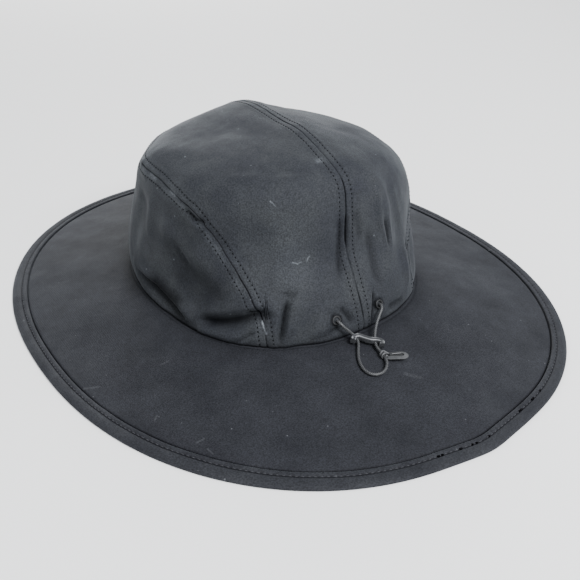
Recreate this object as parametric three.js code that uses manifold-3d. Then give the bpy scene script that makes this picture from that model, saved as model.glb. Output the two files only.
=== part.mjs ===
// A wide-brim rain hat as it lies on its brim, in millimetres with +Z up. Its front is toward -Y, its
// back with the drawcord toward +Y, and the wearer's left toward +X. The band of its edge rests on z = 0.
import * as THREE from "three";
import { mergeVertices } from "three/addons/utils/BufferGeometryUtils.js";
import Module from "manifold-3d";

const wasm = await Module();
wasm.setup();

// Sizes of the brim: its outline over the edge band, its cloth and the climb from the band to the crown.
const brimLength = 394.6;
const brimWidth = 334;
const brimFullness = 2.2; // power of the outline: 2 is an ellipse, more is squarer
const brimCloth = 1.6;
const brimClimb = 12;
const brimDroop = 1.2; // power of the climb: 1 is a straight slope
const brimAllowance = 3; // the brim reaches this far inside the crown's wall, to be sewn

// Sizes of the stitched band of folded cloth round the brim's edge.
const bandWidth = 10.8;
const bandThickness = 2.6;
const bandRound = 0.8; // how far its outer corners are rounded off

// Sizes of the crown.
const crownLength = 196;
const crownWidth = 182;
const crownHeight = 106;
const crownFullness = 2.32; // power of its level sections
const crownCloth = 1.4;

// Sizes of the drawcord and of what is on it.
const cordDiameter = 1.8;
const eyeletHole = 3.4;
const eyeletBarrel = 0.6; // wall of the part that goes through the cloth
const eyeletFlange = 1; // how far the rim reaches past the barrel
const eyeletRim = 0.7; // thickness of the rim on each face of the cloth
const lockWidth = 3.4;
const lockHeight = 4;
const lockEdge = 0.4; // its small bevel
const hitchWall = 0.6;
const tabLength = 11;
const tabWidth = 4.6;
const tabThickness = 1.4;
const tabEye = 1.2; // radius of the hole at the tab's inner end

// Fits.
const clearance = 0.3; // between pieces that touch or are sewn together
const seamGap = 0.3; // the groove that shows between two joined panels

// How finely the forms are divided.
const brimColumns = 80;
const crownColumns = 62;
const crownRows = 17;
const crownGathering = 0.35; // how much closer its columns stand at the back, where it is gathered
const cordSides = 8;
const cordSteps = 54;
const ringSides = 14;
const lockColumns = 12;
const hitchSteps = 4;
const tabCurveSteps = 6;
const weldDistance = 1e-4; // points of a mesh nearer than this are one
const slopeSteps = [0, 0.12, 0.28, 0.5, 0.75, 1]; // the brim's rings, as shares of the way down its slope

// Level sections of the crown at even steps up its wall. up is a share of crownHeight, back and front
// are reaches from the centre as shares of crownLength, left and right as shares of crownWidth.
const crownSections = [
  { up: 0.0, back: 0.481, front: 0.526, left: 0.492, right: 0.478 },
  { up: 0.12, back: 0.462, front: 0.529, left: 0.489, right: 0.476 },
  { up: 0.27, back: 0.424, front: 0.519, left: 0.476, right: 0.48 },
  { up: 0.42, back: 0.381, front: 0.501, left: 0.46, right: 0.5 },
  { up: 0.57, back: 0.374, front: 0.477, left: 0.445, right: 0.482 },
  { up: 0.7, back: 0.362, front: 0.441, left: 0.438, right: 0.435 },
  { up: 0.82, back: 0.342, front: 0.346, left: 0.386, right: 0.338 },
  { up: 0.89, back: 0.266, front: 0.291, left: 0.268, right: 0.2 },
  { up: 0.94, back: 0.189, front: 0.259, left: 0.146, right: 0.127 },
  { up: 0.98, back: 0.084, front: 0.194, left: 0.066, right: 0.072 },
  { up: 1.0, back: -0.06, front: 0.06, left: 0, right: 0 },
];

// The crown's dents and folds. turn is the place round the crown in degrees, from the back toward the
// wearer's left, and rise its share of the way up the wall. run is the fold's tilt from level in
// degrees. long and wide are its half sizes and deep its depth, as shares of crownWidth; a depth
// below zero is a ridge.
const crownFolds = [
  { turn: 50, rise: 0.095, run: 4, long: 0.14, wide: 0.024, deep: 0.024 },
  { turn: 52, rise: 0.035, run: 0, long: 0.15, wide: 0.028, deep: -0.01 },
  { turn: 72, rise: 0.16, run: 25, long: 0.14, wide: 0.075, deep: 0.026 },
  { turn: 30, rise: 0.09, run: 80, long: 0.1, wide: 0.018, deep: 0.016 },
  { turn: 24, rise: 0.06, run: 98, long: 0.08, wide: 0.018, deep: 0.011 },
  { turn: 35, rise: 0.1, run: 72, long: 0.08, wide: 0.018, deep: -0.009 },
  { turn: 4.5, rise: 0.36, run: 88, long: 0.17, wide: 0.024, deep: 0.014 },
  { turn: -20, rise: 0.38, run: 92, long: 0.17, wide: 0.03, deep: -0.016 },
  { turn: -27, rise: 0.36, run: 88, long: 0.15, wide: 0.026, deep: 0.018 },
  { turn: 65, rise: 0.46, run: -20, long: 0.05, wide: 0.024, deep: 0.013 },
  { turn: 112, rise: 0.58, run: 0, long: 0.08, wide: 0.06, deep: -0.015 },
  { turn: -40, rise: 0.18, run: 84, long: 0.12, wide: 0.026, deep: 0.018 },
  { turn: -50, rise: 0.16, run: 96, long: 0.11, wide: 0.028, deep: -0.014 },
  { turn: -95, rise: 0.2, run: 15, long: 0.16, wide: 0.05, deep: 0.018 },
  { turn: 160, rise: 0.22, run: -8, long: 0.18, wide: 0.045, deep: 0.02 },
  { turn: -105, rise: 0.9, run: 40, long: 0.12, wide: 0.05, deep: 0.012 },
];

// The seam between the side band and the top, as seen from the side. back is the distance toward the
// back from the centre as a share of crownLength, up a share of crownHeight. It climbs slantwise from
// the foot and then runs level round the sides and the front.
const sideSeam = [
  { back: 0.402, up: -0.14 },
  { back: 0.394, up: 0 },
  { back: 0.382, up: 0.09 },
  { back: 0.355, up: 0.184 },
  { back: 0.32, up: 0.276 },
  { back: 0.286, up: 0.346 },
  { back: 0.247, up: 0.436 },
  { back: 0.213, up: 0.532 },
  { back: 0.174, up: 0.618 },
  { back: 0.128, up: 0.672 },
  { back: 0.068, up: 0.718 },
  { back: -0.02, up: 0.745 },
  { back: -0.164, up: 0.751 },
  { back: -0.362, up: 0.755 },
  { back: -0.72, up: 0.757 },
];

// Waves of the brim's edge. turn is in degrees, spread in degrees to each side, out a share of
// brimWidth.
const edgeWaves = [
  { turn: 0.5, spread: 4.2, out: 0.0078 },
  { turn: -13, spread: 5, out: -0.0015 },
  { turn: 68, spread: 24, out: 0.002 },
];

// Where the eyelets sit: turn in degrees and rise as in the folds.
const eyelets = [
  { name: "eyelet_left", turn: 11.35, rise: 0.0935 },
  { name: "eyelet_right", turn: -9.35, rise: 0.0935 },
];

// The drawcord's route, from inside the left eyelet, through the lock, round its loop on the brim,
// back through the lock and into the right eyelet.
const cordRoute = [
  [18.1, 86.4, 25.1],
  [18.55, 89.2, 25.9],
  [18.7, 92, 26.3],
  [17.8, 94.7, 24.8],
  [15.2, 96.3, 21.6],
  [12.4, 97.2, 18.5],
  [10.9, 99, 16.5],
  [11.3, 101.6, 15.3],
  [12.9, 104.3, 14.4],
  [15.2, 107, 13.6],
  [17.4, 109.8, 13],
  [19.5, 113, 12.4],
  [21.2, 116.8, 11.9],
  [22, 120.8, 11.3],
  [21.4, 124.6, 10.9],
  [19, 127.2, 10.7],
  [15.6, 128, 10.7],
  [12.2, 127.1, 10.8],
  [9.1, 125, 11.4],
  [6.9, 122.1, 12.1],
  [5.7, 118.8, 12.8],
  [5.3, 115.6, 13.3],
  [5.1, 112.8, 13.8],
  [4.5, 110, 14.5],
  [3.1, 107.4, 15.5],
  [1.3, 104.8, 16.7],
  [-1.6, 101.7, 18.5],
  [-5.2, 98.7, 20.7],
  [-9.1, 96.2, 23.2],
  [-11.9, 94.6, 25.4],
  [-13.2, 92.2, 26.4],
  [-13.05, 89.6, 25.9],
  [-12.7, 86.7, 25.1],
];

// Points of the lock's bent centre line in plan, and the height of its underside over the table.
const lockLine = [
  [14.6, 101.2],
  [12.2, 99.3],
  [9.4, 99.7],
  [7.4, 102.7],
  [5.2, 105.8],
  [2.2, 107.9],
  [0.9, 110.4],
  [2.6, 112.8],
];
const lockFoot = 14.2;
const lockTilt = -6; // degrees that it leans with the brim's slope

// The hitch sits on this stretch of the cord, as shares of its route; the tab lies beside it.
const hitchStretch = { start: 0.632, end: 0.668 };
const tabPlace = [1.5, 118.9, 11.1];
const tabHeading = 152; // degrees from the wearer's left to the way that the tab points
const tabTilt = -5;

// Sizes worked out from the ones above.
const halfTurn = Math.PI;
const brimUnderside = (bandThickness - brimCloth) / 2; // of the brim's cloth where it joins the band
const crownFoot = brimUnderside + brimCloth + brimClimb + clearance;
const cordRadius = cordDiameter / 2;
const punchLength = 6 * crownCloth; // long enough to go through folded cloth

const radians = THREE.MathUtils.degToRad;

// The four profiles of the crown's wall, as smooth curves of reach and height.
function profile(side, size) {
  const points = crownSections.map((row) => new THREE.Vector2(row[side] * size, row.up * crownHeight));
  return new THREE.SplineCurve(points);
}
const profiles = {
  back: profile("back", crownLength),
  front: profile("front", crownLength),
  left: profile("left", crownWidth),
  right: profile("right", crownWidth),
};
const wallRun = profiles.left.getLength(); // from the crown's foot over the shoulder to its top

// A point of a unit superellipse: x toward the wearer's left, y toward the back.
function onOutline(turn, fullness) {
  const side = Math.sin(turn);
  const back = Math.cos(turn);
  const sum = Math.abs(side) ** fullness + Math.abs(back) ** fullness;
  const reach = sum ** (-1 / fullness);
  return new THREE.Vector2(side * reach, back * reach);
}

// The crown's form before it is folded, at a turn and a share of the way up the wall.
function smoothCrown(turn, rise) {
  const back = profiles.back.getPoint(rise);
  const front = profiles.front.getPoint(rise);
  const left = profiles.left.getPoint(rise);
  const right = profiles.right.getPoint(rise);
  const unit = onOutline(turn, crownFullness);
  const x = (left.x - right.x) / 2 + (unit.x * (left.x + right.x)) / 2;
  const y = (back.x - front.x) / 2 + (unit.y * (back.x + front.x)) / 2;
  return new THREE.Vector3(x, y, crownFoot + back.y);
}

// Direction out of a surface, from the points beside the one that is asked for.
function outward(surface, turn, rise) {
  const step = 0.01;
  const round = surface(turn + step, rise).sub(surface(turn - step, rise));
  const up = surface(turn, Math.min(rise + step, 1)).sub(surface(turn, Math.max(rise - step, 0)));
  return up.cross(round).normalize();
}

// How far the folds push the wall in at a place.
function foldDepth(turn, rise, radius) {
  let depth = 0;
  for (const fold of crownFolds) {
    const around = Math.atan2(Math.sin(turn - radians(fold.turn)), Math.cos(turn - radians(fold.turn)));
    const level = around * radius;
    const climb = (rise - fold.rise) * wallRun;
    const run = radians(fold.run);
    const along = (level * Math.cos(run) + climb * Math.sin(run)) / (fold.long * crownWidth);
    const across = (climb * Math.cos(run) - level * Math.sin(run)) / (fold.wide * crownWidth);
    depth += fold.deep * crownWidth * Math.exp(-along * along - across * across);
  }
  return depth;
}

// The folded crown: its outer face, or the face that lies a depth inside it.
function crownFace(turn, rise) {
  const point = smoothCrown(turn, rise);
  const radius = Math.hypot(point.x, point.y);
  return point.addScaledVector(outward(smoothCrown, turn, rise), -foldDepth(turn, rise, radius));
}
function crownPoint(turn, rise, depth) {
  const point = crownFace(turn, rise).addScaledVector(outward(crownFace, turn, rise), -depth);
  if (rise === 0) point.z = crownFoot;
  return point;
}

// A closed skin over rings of points, each joined to the next. It ends in a pole at each end, or joins
// its last ring to its first where no poles are given.
function skin(rings, poles = []) {
  const count = rings[0].length;
  const points = [...rings.flat(), ...poles];
  const faces = [];
  const joins = poles.length ? rings.length - 1 : rings.length;
  for (let ring = 0; ring < joins; ring++) {
    const low = ring * count;
    const high = ((ring + 1) % rings.length) * count;
    for (let column = 0; column < count; column++) {
      const beside = (column + 1) % count;
      faces.push(low + beside, low + column, high + column);
      faces.push(low + beside, high + column, high + beside);
    }
  }
  if (poles.length) {
    const first = rings.flat().length;
    const last = first - count;
    for (let column = 0; column < count; column++) {
      const beside = (column + 1) % count;
      faces.push(first, column, beside);
      faces.push(first + 1, last + beside, last + column);
    }
  }
  const geometry = new THREE.BufferGeometry().setFromPoints(points);
  geometry.setIndex(faces);
  return geometry;
}

// Booleans: a geometry as a solid, and a solid as a geometry.
function solid(geometry) {
  const bare = geometry.clone();
  bare.deleteAttribute("normal");
  bare.deleteAttribute("uv");
  const merged = mergeVertices(bare, weldDistance);
  const vertProperties = new Float32Array(merged.attributes.position.array);
  const triVerts = new Uint32Array(merged.index.array);
  return new wasm.Manifold(new wasm.Mesh({ numProp: 3, vertProperties, triVerts }));
}
function geometryOf(body) {
  const mesh = body.getMesh();
  const geometry = new THREE.BufferGeometry();
  geometry.setAttribute("position", new THREE.BufferAttribute(new Float32Array(mesh.vertProperties), 3));
  geometry.setIndex(new THREE.BufferAttribute(new Uint32Array(mesh.triVerts), 1));
  return geometry;
}

// A block as wide as the hat, cut to an outline given as points of (toward the back, up).
function sideways(points) {
  const outline = new THREE.Shape(points.map(([back, up]) => new THREE.Vector2(back, up)));
  const block = new THREE.ExtrudeGeometry(outline, { depth: brimWidth, bevelEnabled: false });
  block.translate(0, 0, -brimWidth / 2);
  block.rotateX(halfTurn / 2);
  block.rotateZ(halfTurn / 2);
  return solid(block);
}

// A round trip of turns, closer together at the back where gathering is more than 0.
function roundTurns(count, gathering = 0) {
  return Array.from({ length: count }, (_, column) => {
    const even = (column / count) * 2 * halfTurn;
    return even - gathering * Math.sin(even);
  });
}

// The whole crown before it is parted into panels: an outer and an inner skin over one foot.
function crownShell() {
  const turns = roundTurns(crownColumns, crownGathering);
  const rises = Array.from({ length: crownRows }, (_, row) => row / crownRows);
  const ring = (rise, depth) => turns.map((turn) => crownPoint(turn, rise, depth));
  const outer = rises.map((rise) => ring(rise, 0));
  const inner = rises.map((rise) => ring(rise, crownCloth)).reverse();
  const top = smoothCrown(0, 1);
  return skin([...inner, ...outer], [top.clone().setZ(top.z - crownCloth), top]);
}

// A piece turned so that its own +Z points out of the crown's wall at a place.
function seatedOnCrown(geometry, place) {
  const turn = radians(place.turn);
  const out = outward(crownFace, turn, place.rise);
  const seat = crownPoint(turn, place.rise, crownCloth / 2);
  const facing = new THREE.Quaternion().setFromUnitVectors(new THREE.Vector3(0, 0, 1), out);
  return geometry.applyQuaternion(facing).translate(seat.x, seat.y, seat.z);
}

// The three panels of the crown, parted along the side seam and the centre seam, with the holes for
// the eyelets in them.
function crownPanels() {
  const barrel = eyeletHole / 2 + eyeletBarrel + clearance;
  const punch = () => new THREE.CylinderGeometry(barrel, barrel, punchLength, ringSides);
  let shell = solid(crownShell());
  for (const eyelet of eyelets) {
    shell = shell.subtract(solid(seatedOnCrown(punch().rotateX(halfTurn / 2), eyelet)));
  }
  const seam = (shift) =>
    sideSeam.map((row) => [row.back * crownLength + shift, crownFoot + row.up * crownHeight + shift]);
  const far = brimLength;
  const belowSeam = sideways([...seam(-seamGap / 2), [-far, -far]]);
  const overSeam = sideways([...seam(seamGap / 2), [-far, far], [far, far], [far, -far]]);
  const top = shell.intersect(overSeam);
  const half = (side) => {
    const block = new THREE.BoxGeometry(far, 2 * far, 2 * far);
    return solid(block.translate((side * (far + seamGap)) / 2, 0, 0));
  };
  return {
    crown_side_band: geometryOf(shell.intersect(belowSeam)),
    crown_top_left: geometryOf(top.intersect(half(1))),
    crown_top_right: geometryOf(top.intersect(half(-1))),
  };
}

// The brim's outer edge in plan, over the band.
function edgePoint(turn) {
  const unit = onOutline(turn, brimFullness);
  const point = new THREE.Vector2((unit.x * brimWidth) / 2, (unit.y * brimLength) / 2);
  let out = 0;
  for (const wave of edgeWaves) {
    const around = Math.atan2(Math.sin(turn - radians(wave.turn)), Math.cos(turn - radians(wave.turn)));
    const away = around / radians(wave.spread);
    out += wave.out * brimWidth * Math.exp(-away * away);
  }
  return point.setLength(point.length() + out);
}

// Plan places on the brim at a turn: a distance in from the edge, and a distance in from the outside
// of the crown's foot. Both lie on the straight line that joins the two.
function brimLine(turn) {
  const edge = edgePoint(turn);
  const wall = smoothCrown(turn, 0);
  const foot = new THREE.Vector2(wall.x, wall.y);
  const inward = foot.clone().sub(edge).normalize();
  return {
    fromEdge: (distance) => edge.clone().addScaledVector(inward, distance),
    fromFoot: (distance) => foot.clone().addScaledVector(inward, distance),
  };
}

// The brim's cloth: a level seat under the crown's wall, and the slope down to the band.
function brimSkin() {
  const turns = roundTurns(brimColumns);
  const rings = (lift) => {
    const at = (place, height) => new THREE.Vector3(place.x, place.y, brimUnderside + lift + height);
    const seat = turns.map((turn) => at(brimLine(turn).fromFoot(crownCloth + brimAllowance), brimClimb));
    const slope = slopeSteps.map((share) =>
      turns.map((turn) => {
        const line = brimLine(turn);
        const place = line.fromFoot(0).lerp(line.fromEdge(bandWidth + clearance), share);
        return at(place, brimClimb * (1 - share) ** brimDroop);
      }),
    );
    return [seat, ...slope];
  };
  return skin([...rings(0), ...rings(brimCloth).reverse()]);
}

// The edge band, flat underneath and rounded outside. Its section is a list of (in from the edge, up
// from the table).
function bandSkin() {
  const section = [
    [bandWidth, 0],
    [bandRound, 0],
    [0, bandRound],
    [0, bandThickness - bandRound],
    [bandRound, bandThickness],
    [bandWidth - bandRound / 2, bandThickness],
    [bandWidth, bandThickness - bandRound / 2],
  ];
  const turns = roundTurns(brimColumns);
  const rings = section.map(([inward, up]) =>
    turns.map((turn) => {
      const place = brimLine(turn).fromEdge(inward);
      return new THREE.Vector3(place.x, place.y, up);
    }),
  );
  return skin(rings);
}

// An eyelet: a barrel through the cloth with a rim on each face of it, about its own Z axis.
function eyeletRing(place) {
  const hole = eyeletHole / 2;
  const barrel = hole + eyeletBarrel;
  const rim = barrel + eyeletFlange;
  const cloth = crownCloth / 2 + clearance;
  const outside = cloth + eyeletRim;
  const section = [
    [hole, -outside],
    [rim, -outside],
    [rim, -cloth],
    [barrel, -cloth],
    [barrel, cloth],
    [rim, cloth],
    [rim - eyeletRim / 2, outside],
    [hole, outside],
    [hole, -outside],
  ].map(([radius, height]) => new THREE.Vector2(radius, height));
  const ring = new THREE.LatheGeometry(section, ringSides).rotateX(halfTurn / 2);
  return seatedOnCrown(ring, place);
}

// The cord's curve, and a round rod along a stretch of it.
const cordCurve = new THREE.CatmullRomCurve3(cordRoute.map((point) => new THREE.Vector3(...point)));
function rodAlongCord(radius, steps, start = 0, end = 1) {
  const corners = Array.from({ length: cordSides }, (_, corner) => {
    const angle = (corner / cordSides) * 2 * halfTurn;
    return new THREE.Vector2(Math.cos(angle), Math.sin(angle)).multiplyScalar(radius);
  });
  const places = Array.from({ length: steps + 1 }, (_, step) => {
    return cordCurve.getPointAt(start + ((end - start) * step) / steps);
  });
  const extrudePath = new THREE.CatmullRomCurve3(places);
  return new THREE.ExtrudeGeometry(new THREE.Shape(corners), { steps, extrudePath, bevelEnabled: false });
}

// The lock: a bent bar that stands on the brim, bored where the cord runs through it.
function lockBody() {
  const line = new THREE.SplineCurve(lockLine.map(([x, y]) => new THREE.Vector2(x, y)));
  const places = line.getSpacedPoints(lockColumns);
  const halfWidth = lockWidth / 2 - lockEdge;
  const side = (sign) =>
    places.map((place, index) => {
      const along = line.getTangentAt(index / (places.length - 1));
      const across = new THREE.Vector2(-along.y, along.x);
      return place.clone().addScaledVector(across, sign * halfWidth);
    });
  const outline = new THREE.Shape([...side(-1), ...side(1).reverse()]);
  const bar = new THREE.ExtrudeGeometry(outline, {
    depth: lockHeight - 2 * lockEdge,
    bevelThickness: lockEdge,
    bevelSize: lockEdge,
    bevelSegments: 1,
  });
  const middle = line.getPointAt(0.5);
  bar.translate(-middle.x, -middle.y, lockEdge);
  bar.rotateX(radians(lockTilt));
  bar.translate(middle.x, middle.y, lockFoot);
  const bore = solid(rodAlongCord(cordRadius + clearance, cordSteps));
  return geometryOf(solid(bar).subtract(bore));
}

// The hitch: a sleeve round the cord, open for it to run through.
function hitchBody() {
  const { start, end } = hitchStretch;
  const reach = (end - start) / 2;
  const outside = solid(rodAlongCord(cordRadius + clearance + hitchWall, hitchSteps, start, end));
  const inside = solid(rodAlongCord(cordRadius + clearance, 2 * hitchSteps, start - reach, end + reach));
  return geometryOf(outside.subtract(inside));
}

// The tab: a flat oval with an eye near its inner end.
function tabBody() {
  const outline = new THREE.Shape();
  const round = tabWidth / 2;
  outline.moveTo(0, -round);
  outline.lineTo(tabLength - tabWidth, -round);
  outline.absarc(tabLength - tabWidth, 0, round, -halfTurn / 2, halfTurn / 2, false);
  outline.lineTo(0, round);
  outline.absarc(0, 0, round, halfTurn / 2, (3 * halfTurn) / 2, false);
  outline.holes.push(new THREE.Path().absarc(0, 0, tabEye, 0, 2 * halfTurn, true));
  const tab = new THREE.ExtrudeGeometry(outline, {
    depth: tabThickness,
    curveSegments: tabCurveSteps,
    bevelEnabled: false,
  });
  tab.rotateX(radians(tabTilt));
  tab.rotateZ(radians(tabHeading));
  return tab.translate(...tabPlace);
}

// Finishes, as they look in the photograph.
const cloth = { color: "#4c5258", roughness: 0.85, metalness: 0 };
const brimFinish = { color: "#46474d", roughness: 0.88, metalness: 0 };
const bandFinish = { color: "#4b4c51", roughness: 0.85, metalness: 0 };
const plastic = { color: "#3a3b3d", roughness: 0.45, metalness: 0 };
const rubber = { color: "#45474a", roughness: 0.6, metalness: 0 };
const braid = { color: "#55585a", roughness: 0.7, metalness: 0 };

const hat = new THREE.Group();
hat.name = "wide_brim_hat";
function addPiece(name, geometry, finish, group = hat) {
  const piece = new THREE.Mesh(geometry, new THREE.MeshStandardMaterial(finish));
  piece.name = name;
  group.add(piece);
}

const crown = new THREE.Group();
for (const [name, geometry] of Object.entries(crownPanels())) addPiece(name, geometry, cloth, crown);
for (const eyelet of eyelets) addPiece(eyelet.name, eyeletRing(eyelet), rubber, crown);
hat.add(crown);

addPiece("brim", brimSkin(), brimFinish);
addPiece("brim_edge_band", bandSkin(), bandFinish);

const drawcord = new THREE.Group();
addPiece("drawcord", rodAlongCord(cordRadius, cordSteps), braid, drawcord);
addPiece("cord_lock", lockBody(), plastic, drawcord);
addPiece("tab_hitch", hitchBody(), braid, drawcord);
addPiece("pull_tab", tabBody(), rubber, drawcord);
hat.add(drawcord);

export default hat;
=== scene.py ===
"""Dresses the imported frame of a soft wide-brim rain hat that lies on its brim.

Everything is in metres in the frame's own axes: +Z up, the hat's back with its drawcord toward +Y and the
wearer's left toward +X. A place round the hat is a turn, from the back toward the wearer's left.
"""
import logging
import math
from dataclasses import dataclass
from enum import Enum
from typing import Callable, Sequence

import bmesh
import bpy
import numpy as np
from mathutils import Matrix, Vector
from mathutils.bvhtree import BVHTree
from mathutils.kdtree import KDTree


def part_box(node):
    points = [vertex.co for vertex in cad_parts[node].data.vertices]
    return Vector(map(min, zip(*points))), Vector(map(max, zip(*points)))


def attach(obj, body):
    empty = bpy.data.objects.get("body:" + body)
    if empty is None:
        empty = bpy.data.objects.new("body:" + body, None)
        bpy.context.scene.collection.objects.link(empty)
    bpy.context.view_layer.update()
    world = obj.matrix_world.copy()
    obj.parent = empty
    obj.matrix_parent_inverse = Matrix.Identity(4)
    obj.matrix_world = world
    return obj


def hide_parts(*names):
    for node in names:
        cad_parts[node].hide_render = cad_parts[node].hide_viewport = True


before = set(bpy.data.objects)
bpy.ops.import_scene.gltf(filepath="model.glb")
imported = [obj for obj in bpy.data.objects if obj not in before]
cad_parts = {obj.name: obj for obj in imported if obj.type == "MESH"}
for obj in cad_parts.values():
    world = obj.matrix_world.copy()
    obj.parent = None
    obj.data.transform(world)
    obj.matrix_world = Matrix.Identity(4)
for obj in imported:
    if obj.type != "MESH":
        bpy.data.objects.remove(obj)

LOG = logging.getLogger("hat")
MM = 0.001
BODY = "root"
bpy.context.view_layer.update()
FULL_TURN = 2 * math.pi
SMOOTH_ANGLE = math.radians(42)
SAME_PLACE = 0.004 * MM
UP = np.array([0.0, 0.0, 1.0])
MAP = "weave"
OBJECT = "OBJECT"
EDIT = "EDIT"
Piece = bpy.types.Object
Socket = bpy.types.NodeSocket
Array = np.ndarray
Pair = tuple[float, float]
Colour = tuple[float, float, float, float]
Lines = list[tuple[np.ndarray, np.ndarray]]
FaceTest = Callable[[Vector, Vector], bool]


# Colours and nodes

def linear(hex_colour: str) -> Colour:
    """Turns an sRGB hex colour into a linear one.

    Args:
        hex_colour: Six hex digits with a leading hash.

    Returns:
        Red, green, blue and an alpha of 1.
    """
    parts = [int(hex_colour[i:i + 2], 16) / 255 for i in (1, 3, 5)]
    low = [p / 12.92 if p <= 0.04045 else ((p + 0.055) / 1.055) ** 2.4 for p in parts]
    return (low[0], low[1], low[2], 1.0)


def add_node(tree: bpy.types.NodeTree, kind: str, settings: dict | None = None,
             inputs: dict | None = None) -> bpy.types.Node:
    """Adds a node with its settings and links.

    Args:
        tree: The node tree that it goes into.
        kind: Blender's name of the node's type.
        settings: Properties of the node by name.
        inputs: Values, or the sockets that feed them, by the input's name or number.

    Returns:
        The new node.
    """
    node = tree.nodes.new(kind)
    for name, value in (settings or {}).items():
        setattr(node, name, value)
    for name, value in (inputs or {}).items():
        if isinstance(value, Socket):
            tree.links.new(value, node.inputs[name])
        else:
            node.inputs[name].default_value = value
    return node


class Nodes:
    """A new material's nodes, with a short call for each kind that the finishes use."""

    def __init__(self, name: str) -> None:
        """Starts a material with no nodes in it.

        Args:
            name: The material's name.
        """
        self.material = bpy.data.materials.new(name)
        self.material.use_nodes = True
        self.tree = self.material.node_tree
        self.tree.nodes.clear()

    def place(self) -> Socket:
        """The place on the piece."""
        return add_node(self.tree, "ShaderNodeTexCoord").outputs["Object"]

    def cloth_map(self) -> Socket:
        """The piece's own map, in metres along the cloth."""
        return add_node(self.tree, "ShaderNodeUVMap", {"uv_map": MAP}).outputs["UV"]

    def mark(self, name: str) -> Socket:
        """A point attribute of the piece."""
        return add_node(self.tree, "ShaderNodeAttribute", {"attribute_name": name}).outputs["Fac"]

    def noise(self, place: Socket, size: float, detail: float, roughness: float = 0.5) -> Socket:
        """Noise whose largest patches have about the given size in metres."""
        values = {"Vector": place, "Scale": 1 / size, "Detail": detail, "Roughness": roughness}
        return add_node(self.tree, "ShaderNodeTexNoise", {}, values).outputs["Fac"]

    def wave(self, place: Socket, direction: str, period: float, distortion: float = 0.0,
             detail: float = 2.0) -> Socket:
        """Bands across a direction that repeat at a period in metres."""
        settings = {"bands_direction": direction}
        scale = FULL_TURN / (20 * period)
        values = {"Vector": place, "Scale": scale, "Distortion": distortion, "Detail": detail}
        return add_node(self.tree, "ShaderNodeTexWave", settings, values).outputs["Fac"]

    def math(self, operation: str, one: Socket, other: Socket) -> Socket:
        """One number made from two."""
        return add_node(self.tree, "ShaderNodeMath", {"operation": operation}, {0: one, 1: other}).outputs[0]

    def vector(self, operation: str, output: str, values: dict) -> Socket:
        """One output of a vector operation."""
        return add_node(self.tree, "ShaderNodeVectorMath", {"operation": operation}, values).outputs[output]

    def remap(self, value: Socket, span: Pair = (0.0, 1.0), onto: Pair = (0.0, 1.0)) -> Socket:
        """A number moved from one range to another and held inside it."""
        ends = zip(("From Min", "From Max", "To Min", "To Max"), (*span, *onto))
        values = {"Value": value, **dict(ends)}
        return add_node(self.tree, "ShaderNodeMapRange", {}, values).outputs["Result"]

    def mix(self, share: Socket | float, ground: Socket | Colour, over: Socket | Colour,
            blend: str = "MIX") -> Socket:
        """A share of one colour laid over another."""
        settings = {"data_type": "RGBA", "blend_type": blend}
        return add_node(self.tree, "ShaderNodeMix", settings, {0: share, 6: ground, 7: over}).outputs[2]

    def bump(self, height: Socket, strength: float, distance: float, under: dict | None = None) -> Socket:
        """Relief from a height, over the relief named in under."""
        values = {"Strength": strength, "Distance": distance, "Height": height, **(under or {})}
        return add_node(self.tree, "ShaderNodeBump", {}, values).outputs["Normal"]

    def finish(self, values: dict) -> bpy.types.Material:
        """Closes the material with its shader.

        Args:
            values: The shader's inputs by name.

        Returns:
            The finished material.
        """
        shader = add_node(self.tree, "ShaderNodeBsdfPrincipled", {}, values)
        add_node(self.tree, "ShaderNodeOutputMaterial", {}, {"Surface": shader.outputs["BSDF"]})
        return self.material


# Finishes

@dataclass(frozen=True)
class Scratch:
    """A thin pale scratch on cloth, between two places in millimetres."""

    start: tuple[float, float, float]
    end: tuple[float, float, float]
    reach: float
    strength: float
    core: float = 0.35

    def share(self, nodes: Nodes, place: Socket) -> Socket:
        """Adds nodes for how much of the scratch shows.

        Args:
            nodes: The material's nodes.
            place: The places on the piece.

        Returns:
            A share that fades out from the scratch's line.
        """
        start = Vector(self.start) * MM
        span = Vector(self.end) * MM - start
        offset = nodes.vector("SUBTRACT", "Vector", {0: place, 1: tuple(start)})
        along = nodes.vector("DOT_PRODUCT", "Value", {0: offset, 1: tuple(span / span.length_squared)})
        held = add_node(nodes.tree, "ShaderNodeClamp", {}, {"Value": along}).outputs["Result"]
        nearest = nodes.vector("SCALE", "Vector", {0: tuple(span), "Scale": held})
        away = nodes.vector("DISTANCE", "Value", {0: offset, 1: nearest})
        return nodes.remap(away, (self.core * self.reach * MM, self.reach * MM), (self.strength, 0.0))


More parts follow.
